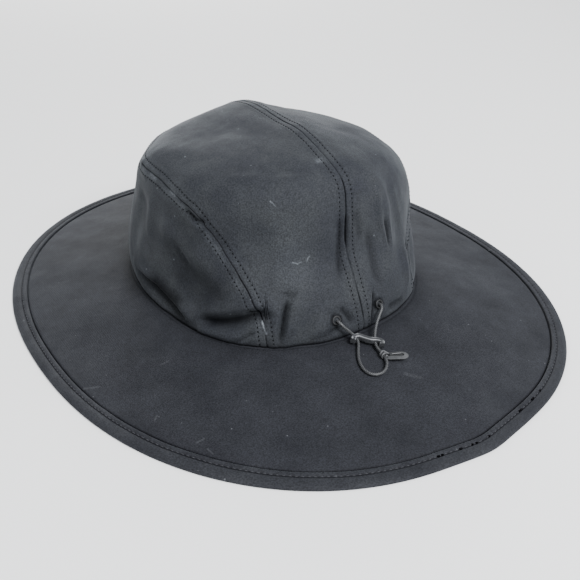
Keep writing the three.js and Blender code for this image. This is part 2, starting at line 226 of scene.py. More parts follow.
@dataclass(frozen=True)
class RainCloth:
    """Nylon rain cloth, woven tight and coated, which gives a matte face with a soft sheen at a slant.

    Its real threads are about 0.25 mm apart, too fine to show, so the weave is drawn coarser.
    """

    name: str
    tone: str
    worn_tone: str
    scuff_tone: str
    sheen: float
    scratches: tuple[Scratch, ...] = ()
    lint_apart: float = 9 * MM
    thread: float = 1.1 * MM
    grain: float = 0.8 * MM
    crumple: float = 7 * MM
    mottle: float = 26 * MM
    roughness: float = 0.78
    sheen_roughness: float = 0.45
    gloss: float = 0.2
    # The near black below is painted shade, laid where the shade mark is high.
    painted_shade_tone: str = "#030304"
    sheen_tone: str = "#cad2da"

    def material(self) -> bpy.types.Material:
        """Builds the cloth from its threads, its mottled tone, lint, scuffs and the painted shade of its
        shade mark.

        Returns:
            The finished material.
        """
        nodes = Nodes(self.name)
        place = nodes.place()
        cloth_map = nodes.cloth_map()
        weave = nodes.math("MULTIPLY", *(nodes.wave(cloth_map, way, self.thread, 0.6, 1.0) for way in "XY"))
        grain = nodes.noise(place, self.grain, 1.0, 0.6)
        mottle = nodes.noise(place, self.mottle, 5.0, 0.62)
        ground = nodes.mix(nodes.remap(mottle, (0.3, 0.72)), linear(self.tone), linear(self.worn_tone))
        grained = nodes.mix(1.0, ground, nodes.remap(grain, (0.3, 0.7), (0.62, 1.45)), "MULTIPLY")
        spacing = {"Vector": place, "Scale": 1 / self.lint_apart}
        cells = add_node(nodes.tree, "ShaderNodeTexVoronoi", {}, spacing)
        spot = nodes.remap(cells.outputs["Distance"], (0.035, 0.075), (1.0, 0.0))
        cell = add_node(nodes.tree, "ShaderNodeSeparateColor", {}, {"Color": cells.outputs["Color"]})
        lint = nodes.math("MULTIPLY", spot, nodes.remap(cell.outputs["Red"], (0.3, 1.0), (0.0, 0.5)))
        rubbed = nodes.mark("scuff")
        for scratch in self.scratches:
            rubbed = nodes.math("MAXIMUM", rubbed, scratch.share(nodes, place))
        scuff = nodes.math("MULTIPLY", rubbed, nodes.remap(grain, (0.35, 0.65), (0.45, 1.0)))
        scuffed = nodes.mix(nodes.math("MAXIMUM", lint, scuff), grained, linear(self.scuff_tone))
        # Painted shade: where the shade mark is high, the colour goes toward the near black and the sheen
        # and the gloss go toward none.
        shade = nodes.mark("shade")
        threads = nodes.bump(weave, 0.35, 0.12 * MM)
        crumple = nodes.noise(place, self.crumple, 4.0, 0.55)
        sheen_outside_shade = nodes.remap(shade, onto=(self.sheen, 0.0))
        return nodes.finish({
            "Base Color": nodes.mix(shade, scuffed, linear(self.painted_shade_tone)),
            "Roughness": self.roughness,
            "IOR": 1.45,
            "Sheen Weight": nodes.math("MULTIPLY", sheen_outside_shade, nodes.remap(mottle, (0.3, 0.7), (0.6, 1.45))),
            "Sheen Roughness": self.sheen_roughness,
            "Sheen Tint": linear(self.sheen_tone),
            "Specular IOR Level": nodes.remap(shade, onto=(self.gloss, 0.0)),
            "Normal": nodes.bump(crumple, 0.4, 0.3 * MM, {"Normal": threads}),
        })


@dataclass(frozen=True)
class Thread:
    """Spun polyester sewing thread, which looks like a matte twisted strand."""

    name: str
    tone: str
    twist: float = 0.5 * MM
    roughness: float = 0.7
    gloss: float = 0.3

    def material(self) -> bpy.types.Material:
        """Builds the thread, banded by its twist.

        Returns:
            The finished material.
        """
        nodes = Nodes(self.name)
        ply = nodes.wave(nodes.place(), "DIAGONAL", self.twist, 1.0)
        banded = nodes.mix(1.0, linear(self.tone), nodes.remap(ply, onto=(0.75, 1.15)), "MULTIPLY")
        return nodes.finish({"Base Color": banded, "Roughness": self.roughness, "IOR": 1.5,
                             "Specular IOR Level": self.gloss, "Normal": nodes.bump(ply, 0.5, 0.1 * MM)})


@dataclass(frozen=True)
class BraidedElastic:
    """Elastic cord with a braided polyester cover, which gives fine slanting ribs with a faint shine."""

    name: str
    tone: str
    # Painted shade: the valleys between the braid's ribs take this darker tone.
    valley_shade_tone: str
    rib: float = 0.9 * MM
    slant: float = 40.0
    roughness: float = 0.55
    gloss: float = 0.6

    def material(self) -> bpy.types.Material:
        """Builds the braid from two slanting sets of ribs along the cord's own map.

        Returns:
            The finished material.
        """
        nodes = Nodes(self.name)
        cord_map = nodes.cloth_map()
        ribs = []
        for slant in (math.radians(self.slant), -math.radians(self.slant)):
            values = {"Vector": cord_map, "Rotation": (0, 0, slant)}
            turned = add_node(nodes.tree, "ShaderNodeMapping", {}, values)
            ribs.append(nodes.wave(turned.outputs["Vector"], "X", self.rib))
        braid = nodes.math("MULTIPLY", *ribs)
        # Painted shade: the braid's valleys are coloured darker.
        colour = nodes.mix(braid, linear(self.valley_shade_tone), linear(self.tone))
        return nodes.finish({"Base Color": colour, "Roughness": self.roughness, "IOR": 1.5,
                             "Specular IOR Level": self.gloss, "Normal": nodes.bump(braid, 0.6, 0.1 * MM)})


@dataclass(frozen=True)
class MouldedPlastic:
    """Moulded nylon or rubber, whose fine mould grain breaks up a soft highlight."""

    name: str
    tone: str
    edge_tone: str
    roughness: float
    grain: float = 0.6 * MM
    patch: float = 4 * MM

    def material(self) -> bpy.types.Material:
        """Builds the plastic with its mould grain and its paler rubbed tone.

        Returns:
            The finished material.
        """
        nodes = Nodes(self.name)
        place = nodes.place()
        rubbed = nodes.noise(place, self.patch, 3.0)
        colour = nodes.mix(nodes.remap(rubbed, (0.35, 0.7)), linear(self.tone), linear(self.edge_tone))
        dullness = nodes.remap(rubbed, onto=(self.roughness - 0.08, self.roughness + 0.12))
        relief = nodes.bump(nodes.noise(place, self.grain, 3.0), 0.25, 0.05 * MM)
        return nodes.finish({"Base Color": colour, "Roughness": dullness, "IOR": 1.5, "Normal": relief})


@dataclass(frozen=True)
class PaintedFloor:
    """Plain pale paint with a faint grain."""

    name: str
    tone: str
    grain: float = 2 * MM
    roughness: float = 0.85

    def material(self) -> bpy.types.Material:
        """Builds the floor's paint.

        Returns:
            The finished material.
        """
        nodes = Nodes(self.name)
        relief = nodes.bump(nodes.noise(nodes.place(), self.grain, 2.0), 0.15, 0.2 * MM)
        return nodes.finish({"Base Color": linear(self.tone), "Roughness": self.roughness, "Normal": relief})


CROWN_SCRATCHES = (
    Scratch((57.9, 69.4, 33.6), (57.2, 75.4, 23.4), 1.0, 0.85),
    Scratch((43.9, 60.0, 96.3), (41.9, 61.8, 93.7), 0.75, 0.42),
    Scratch((41.9, 61.8, 93.7), (40.4, 62.4, 93.4), 0.6, 0.25),
    Scratch((35.0, 68.7, 59.6), (32.4, 70.0, 58.4), 0.7, 0.4),
    Scratch((32.4, 70.0, 58.4), (30.4, 70.6, 59.4), 0.6, 0.3),
    Scratch((27.6, 71.2, 58.2), (25.6, 71.5, 61.6), 0.7, 0.38),
    Scratch((20.6, 50.3, 108.9), (19.0, 51.0, 108.7), 0.8, 0.35),
)
CROWN_CLOTH = RainCloth("woven_nylon_crown", "#202227", "#2d2f31", "#7b8085", 0.13, CROWN_SCRATCHES)
BRIM_SCRATCHES = (
    Scratch((134.1, 85.1, 3.2), (131.6, 82.5, 3.6), 0.7, 0.15),
    Scratch((131.6, 82.5, 3.6), (130.7, 84.2, 3.7), 0.6, 0.15),
    Scratch((123.9, 111.8, 2.9), (119.3, 111.9, 3.3), 0.8, 0.13),
    Scratch((120.6, 123.2, 2.5), (121.4, 118.6, 2.7), 0.6, 0.12),
    Scratch((153.7, 38.0, 2.2), (147.0, 41.8, 3.0), 1.2, 0.12),
    Scratch((112.2, 49.4, 8.3), (107.2, 49.6, 9.1), 0.9, 0.1),
    Scratch((2.8, 134.0, 8.3), (-2.5, 140.5, 7.4), 1.8, 0.1),
)
BRIM_CLOTH = RainCloth("woven_nylon_brim", "#1a1b1f", "#242529", "#6d6f72", 0.11, BRIM_SCRATCHES, 7 * MM)
BAND_CLOTH = RainCloth("woven_nylon_edge_band", "#1d1e22", "#28292c", "#75777a", 0.12)
# Near black: partly the thread's own colour, partly painted shade of the needle holes round each stitch.
DARK_THREAD = Thread("spun_polyester_thread_dark", "#0b0c0e", roughness=0.9, gloss=0.1)
# Painted shade: near black, used not for thread but for the beads that stand for the shadow inside open
# needle holes.
HOLE_SHADE = Thread("painted_needle_hole_shade", "#030304", roughness=0.95, gloss=0.02)
GREY_THREAD = Thread("spun_polyester_thread_grey", "#2e2f33")
CORD_BRAID = BraidedElastic("braided_polyester_elastic", "#5b5c5d", "#17181a")
HITCH_BRAID = BraidedElastic("braided_polyester_lace", "#737474", "#26272a", rib=0.6 * MM)
# Painted highlight: a paler plastic for the upward faces of the lock's near rim.
LOCK_PAINTED_HIGHLIGHT = MouldedPlastic("moulded_nylon_painted_highlight", "#606162", "#808182", 0.34)
LOCK_PLASTIC = MouldedPlastic("moulded_nylon_lock", "#2a2b2d", "#38393b", 0.36)
TAB_RUBBER = MouldedPlastic("moulded_rubber_tab", "#242526", "#313233", 0.5)
# Painted highlight: a paler rubber for the upward faces of the tab's rim.
TAB_PAINTED_HIGHLIGHT = MouldedPlastic("moulded_rubber_painted_highlight", "#38393a", "#4c4d4e", 0.48)
# Near black: the rubber's own colour, darkened further as painted shade so the hole inside reads as shaded.
EYELET_RUBBER = MouldedPlastic("moulded_rubber_eyelet", "#0b0c0d", "#161719", 0.5)
FLOOR_PAINT = PaintedFloor("painted_floor", "#fafaf8")
FINISHES = (CROWN_CLOTH, BRIM_CLOTH, BAND_CLOTH, DARK_THREAD, GREY_THREAD, HOLE_SHADE, CORD_BRAID,
            HITCH_BRAID, LOCK_PLASTIC, LOCK_PAINTED_HIGHLIGHT, TAB_RUBBER, TAB_PAINTED_HIGHLIGHT, EYELET_RUBBER)


# Objects

def linked(name: str, data: bpy.types.ID) -> Piece:
    """Puts new data into the scene as an object."""
    made = bpy.data.objects.new(name, data)
    bpy.context.scene.collection.objects.link(made)
    return made


def switch_mode(mode: str) -> None:
    """Goes into a mode, unless it is the present one."""
    if not bpy.context.mode.startswith(mode):
        bpy.ops.object.mode_set(mode=mode)


def make_active(piece: Piece) -> None:
    """Makes a piece the only selected one and the active one."""
    bpy.ops.object.select_all(action="DESELECT")
    piece.select_set(True)
    bpy.context.view_layer.objects.active = piece


def report(piece: Piece) -> Piece:
    """Logs a finished piece and hands it on."""
    LOG.info("built %s with %d faces", piece.name, len(piece.data.polygons))
    return piece


def ray_tree(pieces: Sequence[Piece]) -> BVHTree:
    """A tree to cast rays at over some objects.

    Args:
        pieces: The objects, with their places in their own meshes.

    Returns:
        The tree, with the faces in the objects' order.
    """
    points: list = []
    faces: list = []
    for piece in pieces:
        start = len(points)
        points += [v.co.copy() for v in piece.data.vertices]
        faces += [tuple(start + v for v in p.vertices) for p in piece.data.polygons]
    return BVHTree.FromPolygons(points, faces)


# Meshes

def bell(values: Array, middle: float, width: float) -> Array:
    """A smooth hump of height 1 round a middle."""
    return np.exp(-((values - middle) / width) ** 2)


def out_ways(turns: Array) -> Array:
    """Plan directions out of the hat at turns."""
    return np.stack([np.sin(turns), np.cos(turns)], axis=-1)


def lengths_along(line: Array) -> Array:
    """How far along a line each of its points lies."""
    return np.concatenate([[0.0], np.cumsum(np.linalg.norm(np.diff(line, axis=0), axis=1))])


def signed_volume(points: Array, faces: Sequence[Sequence[int]]) -> float:
    """Volume inside a closed mesh, below zero where its faces point inwards.

    Args:
        points: Corner places.
        faces: Corner numbers of each face.

    Returns:
        The volume in cubic metres.
    """
    total = 0.0
    for size in (3, 4):
        rows = np.array([f for f in faces if len(f) == size], int)
        if not len(rows):
            continue
        for second in range(1, size - 1):
            a, b, c = points[rows[:, 0]], points[rows[:, second]], points[rows[:, second + 1]]
            total += float((np.cross(a, b) * c).sum()) / 6
    return total


def make_piece(name: str, points: Array, faces: list, finish: str,
               uv: Array | None = None, marks: dict[str, Array] | None = None) -> Piece:
    """Makes a smooth shaded piece with a closed skin that rides on the hat.

    Args:
        name: The piece's name.
        points: Its corner places.
        faces: The corner numbers of its faces.
        finish: Its material's name.
        uv: A map place for each corner, in metres along the cloth.
        marks: Point attributes by name.

    Returns:
        The new object.
    """
    if signed_volume(points, faces) < 0:
        faces = [f[::-1] for f in faces]
    mesh = bpy.data.meshes.new(name)
    mesh.from_pydata(points.tolist(), [], faces)
    if uv is not None:
        layer = mesh.uv_layers.new(name=MAP)
        corners = np.zeros(len(mesh.loops), np.int32)
        mesh.loops.foreach_get("vertex_index", corners)
        layer.data.foreach_set("uv", uv[corners].astype(np.float32).ravel())
    for mark, values in (marks or {}).items():
        mesh.attributes.new(mark, "FLOAT", "POINT").data.foreach_set("value", values.astype(np.float32))
    work = bmesh.new()
    work.from_mesh(mesh)
    bmesh.ops.remove_doubles(work, verts=work.verts, dist=SAME_PLACE)
    bmesh.ops.dissolve_degenerate(work, edges=work.edges, dist=SAME_PLACE / 2)
    work.to_mesh(mesh)
    work.free()
    mesh.polygons.foreach_set("use_smooth", np.ones(len(mesh.polygons), bool))
    mesh.materials.append(bpy.data.materials[finish])
    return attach(linked(name, mesh), BODY)


def grid_faces(rows: int, columns: int, start: int = 0, around: bool = False) -> list[tuple[int, ...]]:
    """Faces of a grid of points stored row by row.

    Args:
        rows: How many rows it has.
        columns: How many points a row has.
        start: The number of its first point.
        around: Whether each row closes on itself.

    Returns:
        Its four-cornered faces.
    """
    last = columns if around else columns - 1
    row, column = np.meshgrid(np.arange(rows - 1), np.arange(last), indexing="ij")
    beside = (column + 1) % columns
    low, high = start + row * columns, start + (row + 1) * columns
    quads = np.stack([low + column, low + beside, high + beside, high + column], axis=-1)
    return [tuple(q) for q in quads.reshape(-1, 4).tolist()]


def shell(outer: Array, inner: Array, around: bool) -> tuple[Array, list]:
    """A closed wall between two grids of points of the same form.

    Args:
        outer: Rows by columns of points of the outer face.
        inner: The points behind them.
        around: Whether each row closes on itself.

    Returns:
        The points and the faces.
    """
    rows, columns = outer.shape[:2]
    count = rows * columns
    points = np.concatenate([outer.reshape(-1, 3), inner.reshape(-1, 3)])
    faces = grid_faces(rows, columns, 0, around)
    faces += [f[::-1] for f in grid_faces(rows, columns, count, around)]
    rim = []
    last = columns if around else columns - 1
    for row, turned in ((0, True), (rows - 1, False)):
        edge = [row * columns + c % columns for c in range(last + 1)]
        rim += [(a, b, turned) for a, b in zip(edge, edge[1:])]
    if not around:
        for column, turned in ((0, False), (columns - 1, True)):
            edge = [row * columns + column for row in range(rows)]
            rim += [(a, b, turned) for a, b in zip(edge, edge[1:])]
    for a, b, turned in rim:
        face = (a, b, b + count, a + count)
        faces.append(face if turned else face[::-1])
    return points, faces


def spaced_line(points: Array, step: float) -> Array:
    """A line again, with points evenly spaced about a step apart.

    Args:
        points: The line's points.
        step: The distance between the new ones.

    Returns:
        The new points.
    """
    along = lengths_along(points)
    count = max(2, int(round(along[-1] / step)) + 1)
    at = np.linspace(0, along[-1], count)
    return np.stack([np.interp(at, along, points[:, k]) for k in range(points.shape[1])], axis=1)


def curve_through(points: Sequence[Sequence[float]], per_span: int) -> Array:
    """A smooth curve through points, as the frame's own cord is bent.

    Args:
        points: The points that it passes through.
        per_span: How many steps it takes between two of them.

    Returns:
        The curve's points.
    """
    knots = np.array(points, float)
    padded = np.concatenate([[2 * knots[0] - knots[1]], knots, [2 * knots[-1] - knots[-2]]])
    share = np.linspace(0, 1, per_span, endpoint=False)[:, None]
    spans = []
    for before, start, end, after in zip(padded, padded[1:], padded[2:], padded[3:]):
        linear_part = (end - before) * share
        square = (2 * before - 5 * start + 4 * end - after) * share ** 2
        cube = (3 * start - before - 3 * end + after) * share ** 3
        spans.append(start + 0.5 * (linear_part + square + cube))
    return np.concatenate([*spans, knots[-1:]])


def ways_across(line: Array) -> tuple[Array, Array]:
    """Two directions across a line at each point, which turn as little as they can.

    Args:
        line: The line's points.

    Returns:
        The two sets of unit vectors.
    """
    tangents = np.gradient(line, axis=0)
    tangents /= np.linalg.norm(tangents, axis=1)[:, None]
    side = np.cross(tangents[0], UP)
    sides = []
    for tangent in tangents:
        side = side - tangent * (side @ tangent)
        side = side / np.linalg.norm(side)
        sides.append(side)
    sides = np.array(sides)
    return sides, np.cross(tangents, sides)


def tube(line: Array, radii: Array, corners: int) -> tuple[Array, list, Array]:
    """A closed round tube along a line.

    Args:
        line: The line's points.
        radii: The tube's radius at each of them.
        corners: How many corners its section has.

    Returns:
        Its points, its faces and a map place for each point.
    """
    across, over = ways_across(line)
    angle = np.arange(corners) / corners * FULL_TURN
    ring = np.cos(angle)[None, :, None] * across[:, None] + np.sin(angle)[None, :, None] * over[:, None]
    points = line[:, None] + ring * radii[:, None, None]
    along = lengths_along(line)
    faces = grid_faces(len(line), corners, 0, True)
    last = (len(line) - 1) * corners
    faces.append(tuple(range(corners))[::-1])
    faces.append(tuple(range(last, last + corners)))
    mean = float(radii.mean())
    uv = np.stack([np.repeat(along[:, None], corners, 1), np.tile(angle * mean, (len(line), 1))], axis=-1)
    return points.reshape(-1, 3), faces, uv.reshape(-1, 2)


LATTICE = np.random.default_rng(11).uniform(-1.0, 1.0, (32, 32, 32))


def surface_noise(points: Array, size: float, octaves: int, seed: float) -> Array:
    """Smooth noise at places, about from -1 to 1.

    Args:
        points: The places.
        size: The distance over which it changes.
        octaves: How many finer layers it has.
        seed: A shift that makes one noise unlike another.

    Returns:
        One value for each place.
    """
    total = np.zeros(points.shape[:-1])
    for octave in range(octaves):
        scaled = points / size * 2 ** octave + seed * (octave + 1) + 0.37 * octave
        cell = np.floor(scaled).astype(int)
        share = scaled - cell
        share = share ** 3 * (share * (share * 6 - 15) + 10)
        layer = np.zeros(points.shape[:-1])
        for corner in np.ndindex(2, 2, 2):
            weight = np.prod(np.where(np.array(corner) == 1, share, 1 - share), axis=-1)
            x, y, z = np.moveaxis((cell + corner) % LATTICE.shape[0], -1, 0)
            layer += weight * LATTICE[x, y, z]
        total += layer * 0.5 ** octave
    return total


# Forms read from the frame

class WrappedField:
    """Values over turns that wrap round and over rows, read smoothly between the samples."""

    def __init__(self, values: Array, low: Array | None = None, high: Array | None = None) -> None:
        """Keeps the values with a border.

        Args:
            values: Rows by turns.
            low: A row before the first, or none to go on straight.
            high: A row after the last, or none to go on straight.
        """
        before = 2 * values[0] - values[1] if low is None else low
        after = 2 * values[-1] - values[-2] if high is None else high
        self.rows, self.turns = values.shape
        self.values = np.concatenate([before[None], values, after[None]])

    def __call__(self, turn: Array, row_share: Array) -> Array:
        """Reads the field.

        Args:
            turn: Turns in radians.
            row_share: Places from the first row, 0, to the last, 1.

        Returns:
            One value for each pair.
        """
        x = np.mod(turn, FULL_TURN) / FULL_TURN * self.turns
        y = np.clip(row_share, 0, 1) * (self.rows - 1)
        x0 = np.floor(x).astype(int)
        y0 = np.minimum(np.floor(y).astype(int), self.rows - 2)
        total = np.zeros(np.broadcast(x, y).shape)
        for j, wy in zip(range(-1, 3), self._weights(y - y0)):
            row = np.clip(y0 + j + 1, 0, self.rows + 1)
            for i, wx in zip(range(-1, 3), self._weights(x - x0)):
                total += wx * wy * self.values[row, (x0 + i) % self.turns]
        return total

    @staticmethod
    def _weights(share: Array) -> tuple[Array, ...]:
        """Weights of the four samples round a place, for a smooth curve through them."""
        a, b, c = share, share ** 2, share ** 3
        return ((-c + 2 * b - a) / 2, (3 * c - 5 * b + 2) / 2, (-3 * c + 4 * b + a) / 2, (c - b) / 2)


def node_tree_of(*nodes: str) -> tuple[BVHTree, list[str]]:
    """A tree to cast rays at over some of the frame's nodes.

    Args:
        nodes: The nodes' names.

    Returns:
        The tree, and the node that each of its faces belongs to.
    """
    owners = [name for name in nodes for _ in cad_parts[name].data.polygons]
    return ray_tree([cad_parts[name] for name in nodes]), owners


def smooth_round(values: Array, spread: Array) -> Array:
    """Smooths rows that wrap round.

    Args:
        values: Rows by turns.
        spread: The width of the smoothing for each row, in samples.

    Returns:
        The smoothed rows.
    """
    wave = np.fft.rfftfreq(values.shape[1]) * FULL_TURN
    damp = np.exp(-0.5 * (spread[:, None] * wave[None]) ** 2)
    return np.fft.irfft(np.fft.rfft(values, axis=1) * damp, n=values.shape[1], axis=1)


def closing_in(inside: Callable[[float], bool], low: float, high: float, steps: int) -> Pair:
    """Halves a span again and again, round the place where a test turns false.

    Args:
        inside: The test, true at the low end.
        low: The low end.
        high: The high end.
        steps: How many times it halves.

    Returns:
        The last two ends.
    """
    for _ in range(steps):
        middle = (low + high) / 2
        if inside(middle):
            low = middle
        else:
            high = middle
    return low, high


class CrownForm:
    """The crown's outer face, taken from the frame's panels and smoothed.

    A place on it is a turn and a climb, from 0 at the crown's foot to 1 at the top of its middle.
    """

    PANELS = ("crown_side_band", "crown_top_left", "crown_top_right")
    TURNS = 360
    ROWS = 121
    CENTRE = np.array([0.0, 0.0, 42 * MM])
    SMOOTHING = 2.8 * MM
    FACING = 0.5
    OUTSIDE = 0.3
    BORDER = 10
    LOWEST_CLIMB = 0.004
    SEAM_FOOT_DEGREES = (15, 100)

    def __init__(self) -> None:
        """Casts rays at the panels and keeps how far out they stand."""
        self.tree, self.owners = node_tree_of(*self.PANELS)
        self.foot = float(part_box(self.PANELS[0])[0].z)
        turns = np.arange(self.TURNS) / self.TURNS * FULL_TURN
        self.low = np.array([self._foot_slant(t) for t in turns])
        self._mend(self.low)
        self.low = smooth_round(self.low[None], np.array([1.5]))[0]
        self.low_field = WrappedField(np.stack([self.low, self.low]))
        reach = np.full((self.ROWS, self.TURNS), np.nan)
        for row in range(self.ROWS - 1):
            for column, turn in enumerate(turns):
                hit = self.cast(turn, row / (self.ROWS - 1))
                if hit is not None:
                    reach[row, column] = hit[0]
        for row in reach[:-1]:
            self._mend(row)
        reach[-1] = reach[-2].mean()
        self.reach = self._smoothed(reach)

    def _foot_slant(self, turn: float) -> float:
        """Finds the slant from the centre down to the crown's foot.

        Args:
            turn: A turn in radians.

        Returns:
            An angle in radians, or nan where the ray fell through a gap.
        """
        out = np.array([math.sin(turn), math.cos(turn), 0.0])
        start = out * self.OUTSIDE + UP * (self.foot + 0.8 * MM)
        place, way, _, _ = self.tree.ray_cast(Vector(start), Vector(-out))
        reach = float(Vector(out).dot(place))
        if reach < 0 or abs(way.dot(Vector(out))) < self.FACING:
            return math.nan
        return math.atan2(self.foot - self.CENTRE[2], reach)

    @staticmethod
    def _mend(row: Array) -> None:
        """Fills a row's samples that fell through a gap or a hole from those beside them."""
        known = np.flatnonzero(np.isfinite(row))
        lost = np.flatnonzero(~np.isfinite(row))
        row[lost] = np.interp(lost, known, row[known], period=len(row))

    def _smoothed(self, reach: Array) -> WrappedField:
        """Smooths the samples over the same distance everywhere.

        Args:
            reach: Distances from the centre, rows by turns.

        Returns:
            A field to read them from.
        """
        slants = self.low[None] + np.linspace(0, 1, self.ROWS)[:, None] * (math.pi / 2 - self.low[None])
        around = (reach * np.cos(slants)).mean(1) * FULL_TURN / self.TURNS
        spread = np.minimum(self.SMOOTHING / np.maximum(around, 0.05 * MM), self.TURNS / 4)
        smooth = smooth_round(reach, spread)
        half, border = self.TURNS // 2, self.BORDER
        over_top = np.roll(smooth[:-1], half, axis=1)[::-1]
        below = 2 * smooth[:1] - smooth[1:border + 1][::-1]
        padded = np.concatenate([below, smooth, over_top[:border]])
        step = reach.mean() * math.pi / 2 / self.ROWS
        kernel = np.exp(-0.5 * (np.arange(-border, border + 1) * step / self.SMOOTHING) ** 2)
        kernel /= kernel.sum()
        rows = np.stack([(padded[r:r + len(kernel)] * kernel[:, None]).sum(0) for r in range(self.ROWS)])
        rows[-1] = rows[-1].mean()
        return WrappedField(rows, high=np.roll(rows[-2], half))

    def direction(self, turn: Array, climb: Array) -> Array:
        """Directions from the centre to places on the crown.

        Args:
            turn: Turns in radians.
            climb: Climbs from 0 to 1.

        Returns:
            Unit vectors.
        """
        low = self.low_field(turn, np.zeros_like(turn))
        slant = low + climb * (math.pi / 2 - low)
        flat = np.cos(slant)
        return np.stack([np.sin(turn) * flat, np.cos(turn) * flat, np.sin(slant)], axis=-1)

    def cast(self, turn: float, climb: float) -> tuple[float, str] | None:
        """Casts one ray at the frame's crown from outside.

        Args:
            turn: A turn in radians.
            climb: A climb from 0 to 1.

        Returns:
            The distance from the centre and the panel's name, or none where it fell through a gap.
        """
        aim = Vector(self.direction(np.array([turn]), np.array([max(climb, self.LOWEST_CLIMB)]))[0])
        centre = Vector(self.CENTRE)
        place, way, face, _ = self.tree.ray_cast(centre + aim * self.OUTSIDE, -aim)
        if place is None or (place - centre).dot(aim) < 0.02 or abs(way.dot(aim)) < self.FACING:
            return None
        return (place - centre).dot(aim), self.owners[face]

    def points(self, turn: Array, climb: Array) -> Array:
        """Places on the crown's outer face."""
        return self.CENTRE + self.direction(turn, climb) * self.reach(turn, climb)[..., None]

    def normals(self, turn: Array, climb: Array) -> Array:
        """Directions out of the crown's face.

        Args:
            turn: Turns in radians.
            climb: Climbs from 0 to 1.

        Returns:
            Unit vectors.
        """
        inside = np.clip(climb, 0.006, 0.985)
        step_turn, step_climb = 0.012, 0.005
        round_way = self.points(turn + step_turn, inside) - self.points(turn - step_turn, inside)
        up_way = self.points(turn, inside + step_climb) - self.points(turn, inside - step_climb)
        out = np.cross(up_way, round_way)
        return out / np.linalg.norm(out, axis=-1)[..., None]

    def climb_at(self, turn: float, height: float) -> float:
        """The climb at which the crown's wall first reaches a height.

        Args:
            turn: A turn in radians.
            height: The height over the table, in metres.

        Returns:
            The climb.
        """
        climbs = np.linspace(0, 1, 241)
        heights = self.points(np.full_like(climbs, turn), climbs)[:, 2]
        return float(np.interp(height, np.maximum.accumulate(heights), climbs))

    def is_side(self, turn: float, climb: float) -> bool:
        """Whether a place belongs to the side band's panel."""
        hit = self.cast(turn, climb)
        return hit is not None and hit[1] == self.PANELS[0]

    def seam_start(self, hand: int) -> float:
        """The turn at which the side seam leaves the crown's foot.

        Args:
            hand: 1 on the wearer's left and -1 on the right.

        Returns:
            The turn in radians, below zero on the right.
        """
        first, last = (math.radians(angle) for angle in self.SEAM_FOOT_DEGREES)
        return hand * closing_in(lambda turn: not self.is_side(hand * turn, 0.01), first, last, 18)[1]

    def seam_climbs(self, turns: Array) -> Array:
        """The climb of the side seam at turns where the side band stands at the foot.

        Args:
            turns: Turns in radians.

        Returns:
            One climb for each.
        """
        found = []
        steps = 60
        for turn in turns:
            low, high = 0.0, 0.95
            for row in range(1, steps):
                if not self.is_side(turn, row / steps) and not self.is_side(turn, (row + 0.4) / steps):
                    high = row / steps
                    break
                low = row / steps
            found.append(sum(closing_in(lambda climb: self.is_side(turn, climb), low, high, 10)) / 2)
        return np.array(found)


BAND_WIDTHS_MM = ((10, 10.8), (45, 11.4), (75, 10.0), (110, 9.7), (180, 9.6), (250, 9.4), (300, 9.0),
                  (325, 9.0), (348, 10.2))


class BrimForm:
    """The brim's top face and outline, taken from the frame's brim and edge band."""

    TURNS = 360
    ROWS = 41
    OUTSIDE = 0.4
    INSIDE = 0.12
    ABOVE = 0.1

    def __init__(self, crown: CrownForm) -> None:
        """Finds the edge, the inner line of the band and the heights between it and the crown.

        Args:
            crown: The crown that stands on the brim.
        """
        turns = np.arange(self.TURNS) / self.TURNS * FULL_TURN
        band_tree, _ = node_tree_of("brim_edge_band")
        brim_tree, _ = node_tree_of("brim")
        band_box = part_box("brim_edge_band")
        level = Vector((0, 0, (band_box[0].z + band_box[1].z) / 2))
        edge, inner, foot, heights = [], [], [], []
        for turn in turns:
            out = Vector((math.sin(turn), math.cos(turn), 0.0))
            edge.append(band_tree.ray_cast(level + out * self.OUTSIDE, -out)[0].dot(out))
            inner.append(band_tree.ray_cast(level + out * self.INSIDE, out)[0].dot(out))
            foot.append(crown.points(np.array([turn]), np.array([0.0]))[0][:2] @ np.array(out[:2]))
            column = []
            for share in np.linspace(0, 1, self.ROWS):
                reach = foot[-1] * (1 - share) + (inner[-1] - 0.6 * MM) * share
                place = brim_tree.ray_cast(out * reach + Vector(UP) * self.ABOVE, -Vector(UP))[0]
                column.append(math.nan if place is None else place.z)
            known = np.flatnonzero(np.isfinite(column))
            heights.append(np.interp(np.arange(self.ROWS), known, np.array(column)[known]))
        spread = np.array([1.6])
        self.edge = self._ring(smooth_round(np.array([edge]), spread)[0])
        at = np.array(BAND_WIDTHS_MM)
        self.band_width = float(at[:, 1].mean()) * MM
        widths = np.interp(np.degrees(turns), at[:, 0], at[:, 1] * MM, period=360)
        self.band_narrowing = self._ring(smooth_round(widths[None], np.array([4.0]))[0])
        self.foot = self._ring(np.array(foot))
        grid = smooth_round(np.array(heights).T, np.full(self.ROWS, 5.0))
        self.heights = WrappedField(grid)
        self.band_top = float(band_box[1].z)

    @staticmethod
    def _ring(values: Array) -> WrappedField:
        """A field of one value for each turn."""
        return WrappedField(np.stack([values, values]))

    def band_widths(self, turns: Array) -> Array:
        """How wide the edge band is at turns, as it narrows toward the wearer's right."""
        return self.band_narrowing(turns, np.zeros_like(turns))

    def outline(self, turns: Array) -> tuple[Array, Array]:
        """The outer edge in plan, and the directions inward across it.

        Args:
            turns: Turns in radians.

        Returns:
            Plan places and unit vectors.
        """
        along = self._edge_places(turns + 0.01) - self._edge_places(turns - 0.01)
        along /= np.linalg.norm(along, axis=-1)[..., None]
        return self._edge_places(turns), np.stack([along[..., 1], -along[..., 0]], axis=-1)

    def _edge_places(self, turns: Array) -> Array:
        """Plan places on the outer edge."""
        return out_ways(turns) * self.edge(turns, np.zeros_like(turns))[..., None]


# The crown

class FoldKind(Enum):
    """How the cloth is bent across a fold."""

    VALLEY = "a soft hollow"
    RIDGE = "a soft ridge"
    CREASE = "a pinched fold with a sharp bottom"
    LEDGE = "a fold whose upper side hangs over"


